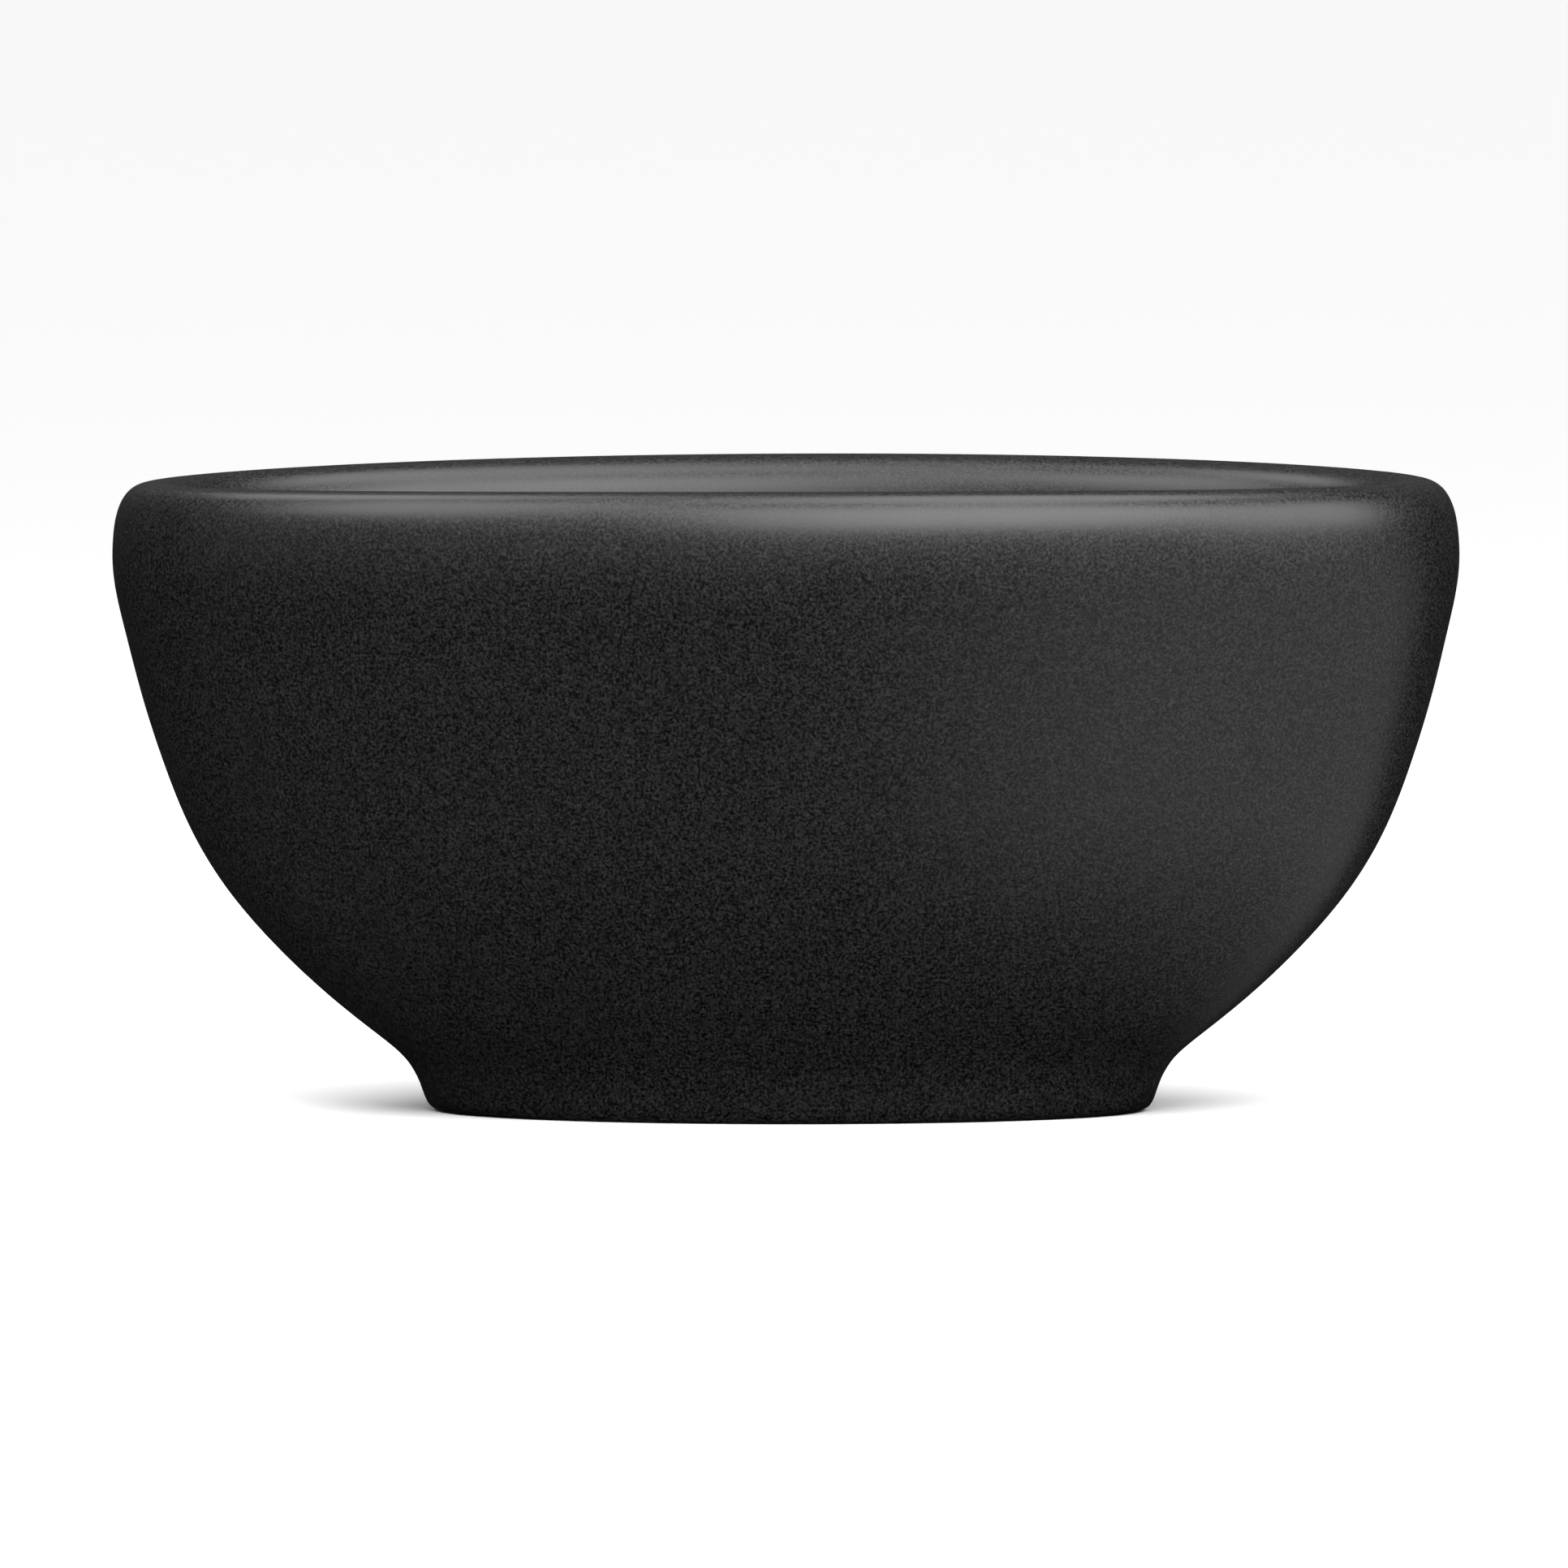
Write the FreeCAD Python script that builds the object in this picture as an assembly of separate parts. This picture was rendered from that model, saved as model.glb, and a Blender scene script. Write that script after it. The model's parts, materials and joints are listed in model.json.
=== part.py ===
"""Freestanding oval bath: a double-skinned acrylic shell on a plinth, with its steel frame,
levelling feet, push-down waste and overflow.  Millimetres, +Z up, origin on the floor under
the centre of the bath, +X along its length, the overflow on the +Y side."""

import FreeCAD
import Part
import math
import os

V = FreeCAD.Vector

# ---------------------------------------------------------------- driving dimensions
LENGTH = 1500.0          # over the widest line of the rim
WIDTH = 750.0
HEIGHT = 707.0           # to the rim's crest at the middle of each long side
END_DIP = 10.0           # how much lower the crest is at the two ends
DIP_START_Z = 200.0      # below this height every ring is level
BULGE_Z = 614.0          # height of the widest line
CREST_INSET = 48.0       # from the widest line in to the crest, at the ends
RIM_POWER = 2.8          # squareness of the rim's outer quarter

SIDE_SHARE = 0.42        # how much the long sides pull in for each mm the ends pull in
SIDE_ROLL = 90.0         # over this first inset, sides and ends pull in alike

SEAM_Z = 590.0           # glue line between basin and skirt, under the widest line
SKIN = 5.0               # acrylic
GLUE = 0.3
LAMINATE = 3.5           # glass-fibre reinforcement behind the acrylic
PLINTH_FLANGE = 5.0      # thickness of the plinth's returned foot
FLANGE_END, FLANGE_SIDE = 365.0, 148.0   # half-axes of the hole inside that foot

FLOOR_Z = 150.0          # basin floor beside the waste
DRAIN_SEAT_Z = 147.0     # formed recess that the waste sits in
DRAIN_SEAT_R = 44.0
DRAIN_HOLE_R = 25.5

OVERFLOW_Z = 600.0       # centre of the overflow hole on the basin's inner face
OVERFLOW_HOLE_R = 22.0

BOARD_T = 15.0
BOARD_END, BOARD_SIDE = 340.0, 125.0
BOARD_HOLE_R = 52.0
BEADS = [((322.0, 118.0), (296.0, 109.0), 142.6), ((92.0, 66.0), (66.0, 56.0), 140.0)]
RAIL_W, RAIL_H, RAIL_L, RAIL_Y = 25.0, 30.0, 600.0, 57.0
CROSS_W, CROSS_H, CROSS_L, CROSS_X = 30.0, 25.0, 222.0, 215.0
TUBE_WALL = 2.0

FOOT_X, FOOT_Y = CROSS_X, 88.0
STUD_R = 6.0
STUD_TOP, STUD_BOTTOM = 113.0, 16.0
PAD_R, PAD_H = 22.0, 6.0

FLANGE_R = 36.0          # waste flange, as seen in the basin
THROAT_R = 21.5
NECK_R = 24.5
PLUG_LIFT = 9.0          # travel of the push-down plug
CLEAR = 0.3              # working clearance between separate pieces
RUN = 0.05               # running clearance, radial

PIPE_R, PIPE_BORE_R = 16.0, 14.0
RING_SPANS = 32          # spans in each horizontal ring

# ---------------------------------------------------------------- stack of levels under the basin
BOARD_TOP = DRAIN_SEAT_Z - SKIN - GLUE - LAMINATE - 0.7
RAIL_TOP = BOARD_TOP - BOARD_T
CROSS_TOP = RAIL_TOP - RAIL_H
CROSS_BOTTOM = CROSS_TOP - CROSS_H
LAMINATE_Z = DRAIN_SEAT_Z - SKIN - GLUE - LAMINATE


# ---------------------------------------------------------------- outline of the shell
def side_axis(end_axis):
    """Half-width on the long side that goes with a half-length at the same height."""
    inset = LENGTH / 2 - end_axis
    roll = (1 - SIDE_SHARE) * SIDE_ROLL * (1 - math.exp(-inset / SIDE_ROLL))
    return WIDTH / 2 - SIDE_SHARE * inset - roll


def outer_points():
    """Outside of the body, from the plinth's edge up to the crest, as (end, side, z)."""
    plinth = [(390.0, 0.0), (401.5, 5.0), (407.0, 14.0), (412.0, 28.0)]
    cove = [(419.0, 43.0), (429.5, 58.0), (445.0, 72.5), (466.0, 89.0)]
    bowl = [(500.0, 116.0), (542.0, 153.0), (586.0, 197.5), (630.0, 251.5), (667.0, 315.0),
            (695.0, 386.0), (719.5, 466.0), (737.0, 538.0)]
    points = [(end, side_axis(end), z) for end, z in plinth + cove + bowl]
    steps = 7
    for k in range(steps + 1):
        angle = math.pi / 2 * k / steps
        end = LENGTH / 2 - CREST_INSET * (1 - math.cos(angle) ** (2 / RIM_POWER))
        z = BULGE_Z + (HEIGHT - BULGE_Z) * math.sin(angle) ** (2 / RIM_POWER)
        points.append((end, side_axis(end), z))
    return points


def inner_points():
    """Inside of the basin, from just past the crest down to the edge of the waste recess."""
    roll = [(690.0, 322.0, 705.6), (674.0, 307.0, 698.0), (660.0, 294.0, 680.0),
            (653.0, 287.0, 652.0)]
    wall = [(645.0, 281.0, 600.0), (627.0, 271.0, 500.0), (602.0, 257.0, 400.0),
            (566.0, 236.0, 300.0)]
    heel = [(530.0, 214.0, 238.0), (482.0, 187.0, 190.0), (420.0, 156.0, 163.0)]
    floor = [(340.0, 126.0, 153.5), (220.0, 95.0, 151.4), (110.0, 70.0, 150.4),
             (66.0, 58.0, FLOOR_Z), (54.0, 50.0, 149.0)]
    return roll + wall + heel + floor + [(DRAIN_SEAT_R, DRAIN_SEAT_R, DRAIN_SEAT_Z)]


def dip(end, z):
    """Drop of a ring's two ends below its sides."""
    rise = max(0.0, z - DIP_START_Z) / (HEIGHT - DIP_START_Z)
    return -END_DIP * rise ** 2 * (2 * end / LENGTH) ** 2


# ---------------------------------------------------------------- ring surfaces
def ring_factors():
    """Poles of cos, sin and cos squared as one uniform cubic ring."""
    step = 2 * math.pi / RING_SPANS
    gain1 = 3 / (2 + math.cos(step))
    gain2 = 3 / (2 + math.cos(2 * step))
    factors = []
    for k in range(RING_SPANS):
        angle = step * k
        factors.append((gain1 * math.cos(angle), gain1 * math.sin(angle),
                        0.5 + 0.5 * gain2 * math.cos(2 * angle)))
    return factors


RING = ring_factors()


def ring_pole(factor, point):
    """One pole of a ring whose half-axes and height are in point."""
    end, side, z = point
    return V(factor[0] * end, factor[1] * side, z + factor[2] * dip(end, z))


def ring_wire(point):
    """Closed ring as a wire."""
    curve = Part.BSplineCurve()
    curve.buildFromPolesMultsKnots([ring_pole(f, point) for f in RING],
                                   [1] * (RING_SPANS + 1), list(range(RING_SPANS + 1)), True, 3)
    return Part.Wire(curve.toShape())


def ring_face(poles, mults, knots, degree):
    """Surface whose every section at one level is an oval ring."""
    surface = Part.BSplineSurface()
    grid = [[ring_pole(f, p) for p in poles] for f in RING]
    surface.buildFromPolesMultsKnots(grid, [1] * (RING_SPANS + 1), mults,
                                     list(range(RING_SPANS + 1)), knots, True, False, 3, degree)
    return surface.toShape()


def ring_band(lower, upper):
    """Straight band between two rings."""
    return ring_face([lower, upper], [2, 2], [0.0, 1.0], 1)


def outline(points):
    """Smooth curve through (end, side, z) points."""
    curve = Part.BSplineCurve()
    curve.interpolate([V(*p) for p in points])
    return curve


def ring_sweep(curve):
    """Ring surface over an outline curve, with its first and last (end, side, z)."""
    poles = [(p.x, p.y, p.z) for p in curve.getPoles()]
    face = ring_face(poles, curve.getMultiplicities(), curve.getKnots(), curve.Degree)
    return face, poles[0], poles[-1]


def split_at_height(curve, z):
    """An outline cut where it first reaches a height: (below, above)."""
    low, high = curve.FirstParameter, curve.parameter(V(LENGTH / 2, WIDTH / 2, BULGE_Z))
    for _ in range(60):
        middle = (low + high) / 2
        if curve.value(middle).z < z:
            low = middle
        else:
            high = middle
    below, above = curve.copy(), curve.copy()
    below.segment(curve.FirstParameter, low)
    above.segment(low, curve.LastParameter)
    return below, above


def offset_outline(curve, distance, samples=44):
    """Outline moved towards the inside of the wall, by its average of end and side."""
    points = []
    first, last = curve.FirstParameter, curve.LastParameter
    for k in range(samples + 1):
        u = first + (last - first) * k / samples
        here, way = curve.value(u), curve.tangent(u)[0]
        run, rise = (way.x + way.y) / 2, way.z
        length = math.hypot(run, rise)
        across, up = -rise / length, run / length
        points.append((here.x + across * distance, here.y + across * distance,
                       here.z + up * distance))
    return points


def solid_of(faces):
    """Closed solid sewn from faces."""
    shell = Part.Shell(faces)
    shell.sewShape()
    solid = Part.Solid(shell.Shells[0] if shell.ShapeType != "Shell" else shell)
    if solid.Volume < 0:
        solid.reverse()
    if not solid.isValid():
        solid.fix(0.001, 0.001, 0.01)
    return solid


def flat_ring(outer, inner=None):
    """Level face inside a ring, with an optional ring-shaped hole."""
    wires = [ring_wire(outer)] + ([ring_wire(inner)] if inner else [])
    return Part.Face(wires) if inner else Part.Face(wires[0])


WHOLE = outline(outer_points() + inner_points())
SKIRT_LINE, BASIN_LINE = split_at_height(WHOLE, SEAM_Z)


# ---------------------------------------------------------------- small shapes
def rod(radius, z_low, z_high, x=0.0, y=0.0):
    """Upright cylinder between two levels."""
    return Part.makeCylinder(radius, z_high - z_low, V(x, y, z_low))


def tube(outer, inner, z_low, z_high, x=0.0, y=0.0):
    """Upright tube between two levels."""
    return rod(outer, z_low, z_high, x, y).cut(rod(inner, z_low - 1, z_high + 1, x, y))


def box(x_low, x_high, y_low, y_high, z_low, z_high):
    """Block between two corners."""
    return Part.makeBox(x_high - x_low, y_high - y_low, z_high - z_low, V(x_low, y_low, z_low))


def hexagon(across_flats, z_low, z_high, x=0.0, y=0.0):
    """Upright hexagonal prism."""
    reach = across_flats / math.sqrt(3)
    corners = [V(x + reach * math.cos(math.radians(60 * k)),
                 y + reach * math.sin(math.radians(60 * k)), z_low) for k in range(7)]
    return Part.Face(Part.makePolygon(corners)).extrude(V(0, 0, z_high - z_low))


def turned(points):
    """Solid turned about the Z axis from an (r, z) outline."""
    line = Part.makePolygon([V(r, 0, z) for r, z in points + points[:1]])
    return Part.Face(line).revolve(V(0, 0, 0), V(0, 0, 1), 360)


def lobed(outer, depth, lobes, z_low, z_high):
    """Round grip with shallow finger flutes, for hand-tightened nuts."""
    body = rod(outer, z_low, z_high)
    for k in range(lobes):
        angle = 2 * math.pi * k / lobes
        reach = outer + depth * 1.6
        body = body.cut(rod(depth * 2.6, z_low - 1, z_high + 1,
                            reach * math.cos(angle), reach * math.sin(angle)))
    return body


# ---------------------------------------------------------------- the two skins
def outer_skirt():
    """Outer acrylic skin, from its seam under the rim down to the plinth's returned foot."""
    outside, foot, seam = ring_sweep(SKIRT_LINE)
    back = [p for p in offset_outline(SKIRT_LINE, SKIN) if p[2] > PLINTH_FLANGE + 12]
    heel = [(380.0, 162.0, PLINTH_FLANGE), (391.0, 170.0, PLINTH_FLANGE + 2.0),
            (397.5, 174.5, PLINTH_FLANGE + 6.5)]
    back[-1] = (seam[0] - SKIN, seam[1] - SKIN, seam[2])
    inside, heel_low, seam_back = ring_sweep(outline(heel + back))
    hole_low = (FLANGE_END, FLANGE_SIDE, 0.0)
    hole_high = (FLANGE_END, FLANGE_SIDE, PLINTH_FLANGE)
    return solid_of([outside, inside, ring_band(seam, seam_back), flat_ring(foot, hole_low),
                     ring_band(hole_low, hole_high), flat_ring(heel_low, hole_high)])


def basin_blank():
    """Inner acrylic skin with its rolled rim, before its holes are cut."""
    gap = GLUE / 2
    seam_raised = BASIN_LINE.value(BASIN_LINE.FirstParameter)
    line = split_at_height(WHOLE, seam_raised.z + gap)[1]
    front, seam, seat = ring_sweep(line)
    back_points = offset_outline(line, SKIN)
    back_points[0] = (seam[0] - SKIN, seam[1] - SKIN, seam[2])
    back_points[-1] = (seat[0], seat[1], seat[2] - SKIN)
    back, seam_back, seat_back = ring_sweep(outline(back_points))
    return solid_of([front, back, ring_band(seam, seam_back), flat_ring(seat),
                     flat_ring(seat_back)])


def overflow_frame():
    """Centre of the overflow on the basin's inner face, and the way into the wall there."""
    low, high = WHOLE.parameter(V(*inner_points()[3])), WHOLE.parameter(V(*inner_points()[5]))
    for _ in range(60):
        middle = (low + high) / 2
        if WHOLE.value(middle).z > OVERFLOW_Z:
            low = middle
        else:
            high = middle
    here, way = WHOLE.value(low), WHOLE.tangent(low)[0]
    outward = V(0, -way.z, way.y)
    outward.normalize()
    return V(0, here.y, here.z), outward


OVERFLOW_AT, OVERFLOW_OUT = overflow_frame()


def on_wall(shape):
    """Moves a shape made along +Z from the origin onto the overflow, +Z into the wall."""
    moved = shape.copy()
    turn = FreeCAD.Rotation(V(0, 0, 1), OVERFLOW_OUT)
    moved.Placement = FreeCAD.Placement(OVERFLOW_AT, turn)
    return moved


def wall_holes(radius_waste, radius_overflow):
    """Tools that cut the waste and overflow holes."""
    waste = rod(radius_waste, BOARD_TOP - 5, FLOOR_Z + 5)
    overflow = on_wall(rod(radius_overflow, -10, 30))
    return waste.fuse(overflow)


def in_quarters(shape):
    """A shape as four solids that meet face to face on its two upright middle planes."""
    corners = [(-LENGTH, -WIDTH), (-LENGTH, 0), (0, -WIDTH), (0, 0)]
    tools = [Part.makeBox(LENGTH, WIDTH, HEIGHT + 10, V(x, y, 0)) for x, y in corners]
    return Part.makeCompound([shape.common(tool) for tool in tools])


def inner_basin():
    """Inner acrylic skin with its two holes, kept as four quarters of one moulding."""
    return in_quarters(basin_blank().cut(wall_holes(DRAIN_HOLE_R, OVERFLOW_HOLE_R)))


def basin_laminate():
    """Glass-fibre layer behind the basin, from under the rim to the waste."""
    inside = split_at_height(WHOLE, BULGE_Z - 1)[1]
    start = inside.parameter(V(*inner_points()[3]))
    inside.segment(start, inside.LastParameter)
    front = offset_outline(inside, SKIN + GLUE)
    back = offset_outline(inside, SKIN + GLUE + LAMINATE)
    seat = (DRAIN_SEAT_R, DRAIN_SEAT_R, DRAIN_SEAT_Z - SKIN - GLUE)
    front[-1] = seat
    back[-1] = (seat[0], seat[1], seat[2] - LAMINATE)
    front_face, top, front_seat = ring_sweep(outline(front))
    back_face, back_top, back_seat = ring_sweep(outline(back))
    blank = solid_of([front_face, back_face, ring_band(top, back_top), flat_ring(front_seat),
                      flat_ring(back_seat)])
    return blank.cut(wall_holes(DRAIN_HOLE_R, OVERFLOW_HOLE_R + 1))


def skirt_laminate():
    """Glass-fibre layer behind the skirt, from the plinth to below the seam tape."""
    line = SKIRT_LINE.copy()
    low = SKIRT_LINE.parameter(V(*outer_points()[3]))
    high = SKIRT_LINE.parameter(V(*outer_points()[15]))
    line.segment(low, high)
    front_face, low_ring, high_ring = ring_sweep(outline(offset_outline(line, SKIN + GLUE)))
    back_face, low_back, high_back = ring_sweep(
        outline(offset_outline(line, SKIN + GLUE + LAMINATE)))
    return solid_of([front_face, back_face, ring_band(low_ring, low_back),
                     ring_band(high_ring, high_back)])


def seam_tape():
    """Bonded glass-fibre band behind the seam between skirt and basin."""
    half = 22.0
    line = split_at_height(WHOLE, SEAM_Z - half)[1]
    upper = split_at_height(WHOLE, SEAM_Z + 20.0)[0].LastParameter
    line.segment(line.FirstParameter, upper)
    front_face, low_ring, high_ring = ring_sweep(outline(offset_outline(line, SKIN + GLUE, 8)))
    back_face, low_back, high_back = ring_sweep(outline(offset_outline(line, SKIN + GLUE + 2.5, 8)))
    return solid_of([front_face, back_face, ring_band(low_ring, low_back),
                     ring_band(high_ring, high_back)])


# ---------------------------------------------------------------- base board and steel frame
SCREW_PLACES = [(x, side * RAIL_Y) for side in (-1, 1) for x in (-270.0, -120.0, 120.0, 270.0)]
FOOT_PLACES = [(-FOOT_X, -FOOT_Y), (FOOT_X, -FOOT_Y), (FOOT_X, FOOT_Y), (-FOOT_X, FOOT_Y)]


def base_board():
    """Plywood board under the basin floor, with a hole for the waste."""
    board = flat_ring((BOARD_END, BOARD_SIDE, RAIL_TOP)).extrude(V(0, 0, BOARD_T))
    board = board.cut(rod(BOARD_HOLE_R, RAIL_TOP - 1, BOARD_TOP + 1))
    for x, y in SCREW_PLACES:
        board = board.cut(rod(2.0 + RUN, RAIL_TOP - 1, RAIL_TOP + 10.5, x, y))
    return board


def board_bedding():
    """Two beads of bonding paste between the board and the underside of the basin."""
    beads = []
    for outer, inner, top in BEADS:
        rise = V(0, 0, top - BOARD_TOP)
        body = flat_ring((*outer, BOARD_TOP)).extrude(rise)
        beads.append(body.cut(flat_ring((*inner, BOARD_TOP)).extrude(rise)))
    return Part.Compound(beads)


def rail(side):
    """Lengthwise box tube, drilled for the screws into the board."""
    y = side * RAIL_Y
    body = box(-RAIL_L / 2, RAIL_L / 2, y - RAIL_W / 2, y + RAIL_W / 2, CROSS_TOP, RAIL_TOP)
    bore = box(-RAIL_L / 2 - 1, RAIL_L / 2 + 1, y - RAIL_W / 2 + TUBE_WALL,
               y + RAIL_W / 2 - TUBE_WALL, CROSS_TOP + TUBE_WALL, RAIL_TOP - TUBE_WALL)
    body = body.cut(bore)
    for x, sy in SCREW_PLACES:
        if sy == y:
            body = body.cut(rod(2.0 + RUN, RAIL_TOP - TUBE_WALL - 1, RAIL_TOP + 1, x, y))
            body = body.cut(rod(6.0, CROSS_TOP - 1, CROSS_TOP + TUBE_WALL + 1, x, y))
    return body


def crossbar(side):
    """Box tube across the bath, drilled for two levelling studs."""
    x = side * CROSS_X
    body = box(x - CROSS_W / 2, x + CROSS_W / 2, -CROSS_L / 2, CROSS_L / 2, CROSS_BOTTOM, CROSS_TOP)
    bore = box(x - CROSS_W / 2 + TUBE_WALL, x + CROSS_W / 2 - TUBE_WALL, -CROSS_L / 2 - 1,
               CROSS_L / 2 + 1, CROSS_BOTTOM + TUBE_WALL, CROSS_TOP - TUBE_WALL)
    body = body.cut(bore)
    for y in (-FOOT_Y, FOOT_Y):
        body = body.cut(rod(STUD_R + 0.6, CROSS_BOTTOM - 1, CROSS_TOP + 1, x, y))
    return body


def tube_caps():
    """Plastic end plugs in the open ends of the four frame tubes."""
    caps = []
    for side in (-1, 1):
        for end in (-1, 1):
            y, x = side * RAIL_Y, end * RAIL_L / 2
            half = RAIL_W / 2
            x_plate = sorted((x, x + end * 2.5))
            x_stem = sorted((x, x - end * 12.0))
            inset = TUBE_WALL + 0.2
            cap = box(*x_plate, y - half, y + half, CROSS_TOP, RAIL_TOP)
            caps.append(cap.fuse(box(*x_stem, y - half + inset, y + half - inset,
                                     CROSS_TOP + inset, RAIL_TOP - inset)))
            x, y = side * CROSS_X, end * CROSS_L / 2
            half = CROSS_W / 2
            y_plate = sorted((y, y + end * 2.5))
            y_stem = sorted((y, y - end * 10.0))
            cap = box(x - half, x + half, *y_plate, CROSS_BOTTOM, CROSS_TOP)
            caps.append(cap.fuse(box(x - half + inset, x + half - inset, *y_stem,
                                     CROSS_BOTTOM + inset, CROSS_TOP - inset)))
    return Part.Compound(caps)


def board_screws():
    """Screws driven up through the rails' top walls into the board."""
    screws = []
    for x, y in SCREW_PLACES:
        head = rod(4.2, RAIL_TOP - TUBE_WALL - 3.0, RAIL_TOP - TUBE_WALL, x, y)
        shank = rod(2.0, RAIL_TOP - TUBE_WALL, RAIL_TOP + 9.0, x, y)
        point = Part.makeCone(2.0, 0.3, 1.4, V(x, y, RAIL_TOP + 9.0))
        screws.append(head.fuse(shank).fuse(point).removeSplitter())
    return Part.Compound(screws)


# ---------------------------------------------------------------- levelling feet
def nuts(across_flats, z_low, z_high):
    """One hexagonal nut on each levelling stud."""
    return Part.Compound([hexagon(across_flats, z_low, z_high, x, y).cut(
        rod(STUD_R + RUN, z_low - 1, z_high + 1, x, y)) for x, y in FOOT_PLACES])


def foot_stud(x, y):
    """Levelling stud with its adjusting hexagon."""
    shank = rod(STUD_R, STUD_BOTTOM, STUD_TOP - 1.5, x, y)
    tip = Part.makeCone(STUD_R, STUD_R - 1.5, 1.5, V(x, y, STUD_TOP - 1.5))
    return shank.fuse(tip).fuse(hexagon(17.0, 26.0, 34.0, x, y)).removeSplitter()


def foot_cup(x, y):
    """Moulded cup that the stud's lower end stands in."""
    cup = Part.makeCone(PAD_R - 1, 12.0, 11.0, V(x, y, PAD_H + 4.0)).fuse(
        rod(PAD_R - 1, PAD_H, PAD_H + 4.0, x, y))
    return cup.cut(rod(STUD_R + RUN, STUD_BOTTOM, PAD_H + 20, x, y)).removeSplitter()


def foot_pad(x, y):
    """Rubber pad under the cup."""
    pad = rod(PAD_R, 0, PAD_H, x, y)
    return pad.makeFillet(1.5, [e for e in pad.Edges if e.BoundBox.ZMax < 1.0])


# ---------------------------------------------------------------- waste
FLANGE_UNDER = DRAIN_SEAT_Z + 1.5
FLANGE_TOP = FLANGE_UNDER + 3.0
NECK_BOTTOM = 96.0
SPIDER_TOP = 133.0
BACK_NUT_TOP = LAMINATE_Z - 3.0
CAP_UNDER_CLOSED = FLANGE_TOP + CLEAR
CAP_UNDER = CAP_UNDER_CLOSED + PLUG_LIFT
BOSS_R, STEM_R = 8.0, 4.0
SPRING_R, SPRING_WIRE_R, SPRING_TURNS = 5.6, 0.7, 6


def waste_flange():
    """Flange, neck and three-armed web of the waste."""
    body = turned([(THROAT_R, FLANGE_TOP - 1.0), (THROAT_R + 2.0, FLANGE_TOP),
                   (FLANGE_R - 2.2, FLANGE_TOP), (FLANGE_R - 0.6, FLANGE_TOP - 0.7),
                   (FLANGE_R, FLANGE_TOP - 2.0), (FLANGE_R, FLANGE_UNDER),
                   (NECK_R, FLANGE_UNDER), (NECK_R, NECK_BOTTOM), (THROAT_R, NECK_BOTTOM)])
    arm = box(0, THROAT_R + 1.0, -1.5, 1.5, SPIDER_TOP - 7, SPIDER_TOP)
    for k in range(3):
        turn = arm.copy()
        turn.rotate(V(0, 0, 0), V(0, 0, 1), 120 * k + 30)
        body = body.fuse(turn)
    body = body.fuse(rod(BOSS_R + 2, SPIDER_TOP - 7, SPIDER_TOP))
    return body.cut(rod(BOSS_R - 2, SPIDER_TOP - 10, SPIDER_TOP + 2)).removeSplitter()


def plug_guide():
    """Sleeve held in the web, which the plug's stem slides in."""
    sleeve = tube(BOSS_R - 2 - RUN, STEM_R + RUN, SPIDER_TOP - 24, SPIDER_TOP)
    collar = tube(BOSS_R, STEM_R + RUN, SPIDER_TOP, SPIDER_TOP + 2)
    return sleeve.fuse(collar).removeSplitter()


def plug_cap():
    """Low domed cap of the plug, with a socket for the stem."""
    reach = FLANGE_R - 4.5
    dome = [(reach * math.sin(math.radians(15 * k)),
             CAP_UNDER + 2.2 + 2.6 * math.cos(math.radians(15 * k))) for k in range(7)]
    cap = turned([(0.0, CAP_UNDER)] + dome + [(reach, CAP_UNDER + 0.8), (reach - 0.8, CAP_UNDER)])
    socket = tube(STEM_R + 3, STEM_R + RUN, CAP_UNDER - 7, CAP_UNDER)
    return cap.fuse(socket).removeSplitter()


def plug_seal():
    """Rubber ring under the cap, which closes the throat."""
    return turned([(STEM_R + 3 + RUN, CAP_UNDER - 3.5), (THROAT_R - 1.6, CAP_UNDER - 3.5),
                   (THROAT_R - CLEAR, CAP_UNDER - 2.2), (THROAT_R - CLEAR, CAP_UNDER - 0.6),
                   (THROAT_R - 1.2, CAP_UNDER - RUN), (STEM_R + 3 + RUN, CAP_UNDER - RUN)])


def plug_stem():
    """Stem that slides in the guide, with a stop ring at its foot."""
    rod_end = SPIDER_TOP - 24 - 2.0
    stem = rod(STEM_R, rod_end, CAP_UNDER - RUN)
    return stem.fuse(rod(STEM_R + 1.6, rod_end - 4, rod_end)).removeSplitter()


def plug_spring():
    """Return spring, coiled between the guide's collar and the cap's socket."""
    low, high = SPIDER_TOP + 2.0 + SPRING_WIRE_R, CAP_UNDER - 7.0 - SPRING_WIRE_R
    coil = Part.makeHelix((high - low) / SPRING_TURNS, high - low, SPRING_R)
    coil.translate(V(0, 0, low))
    start = coil.Edges[0]
    way = start.tangentAt(start.FirstParameter)
    section = Part.Wire(Part.makeCircle(SPRING_WIRE_R, start.valueAt(start.FirstParameter), way))
    return Part.Wire(coil.Edges).makePipeShell([section], True, True)


def washer(outer, inner, z_low, z_high):
    """Flat ring."""
    return tube(outer, inner, z_low, z_high)


def waste_back_nut():
    """Large hand nut that clamps the waste to the basin."""
    nut = lobed(38.0, 1.6, 12, BACK_NUT_TOP - 11.0, BACK_NUT_TOP)
    return nut.cut(rod(NECK_R + RUN, BACK_NUT_TOP - 12, BACK_NUT_TOP + 1))


TEE_BORE_R, TEE_R = 20.5, 24.0
TEE_COLLAR_TOP, TEE_COLLAR_BOTTOM = 112.0, 93.0
TEE_BOTTOM = 40.0
BRANCH_Z, BRANCH_R, BRANCH_END = 62.0, 14.0 - RUN, 66.0
TAIL_R, TAIL_BORE_R = 20.0, 17.8
TAIL_BOTTOM, TAIL_SHOULDER, TAIL_TOP = 6.0, 36.0, 44.0


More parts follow.
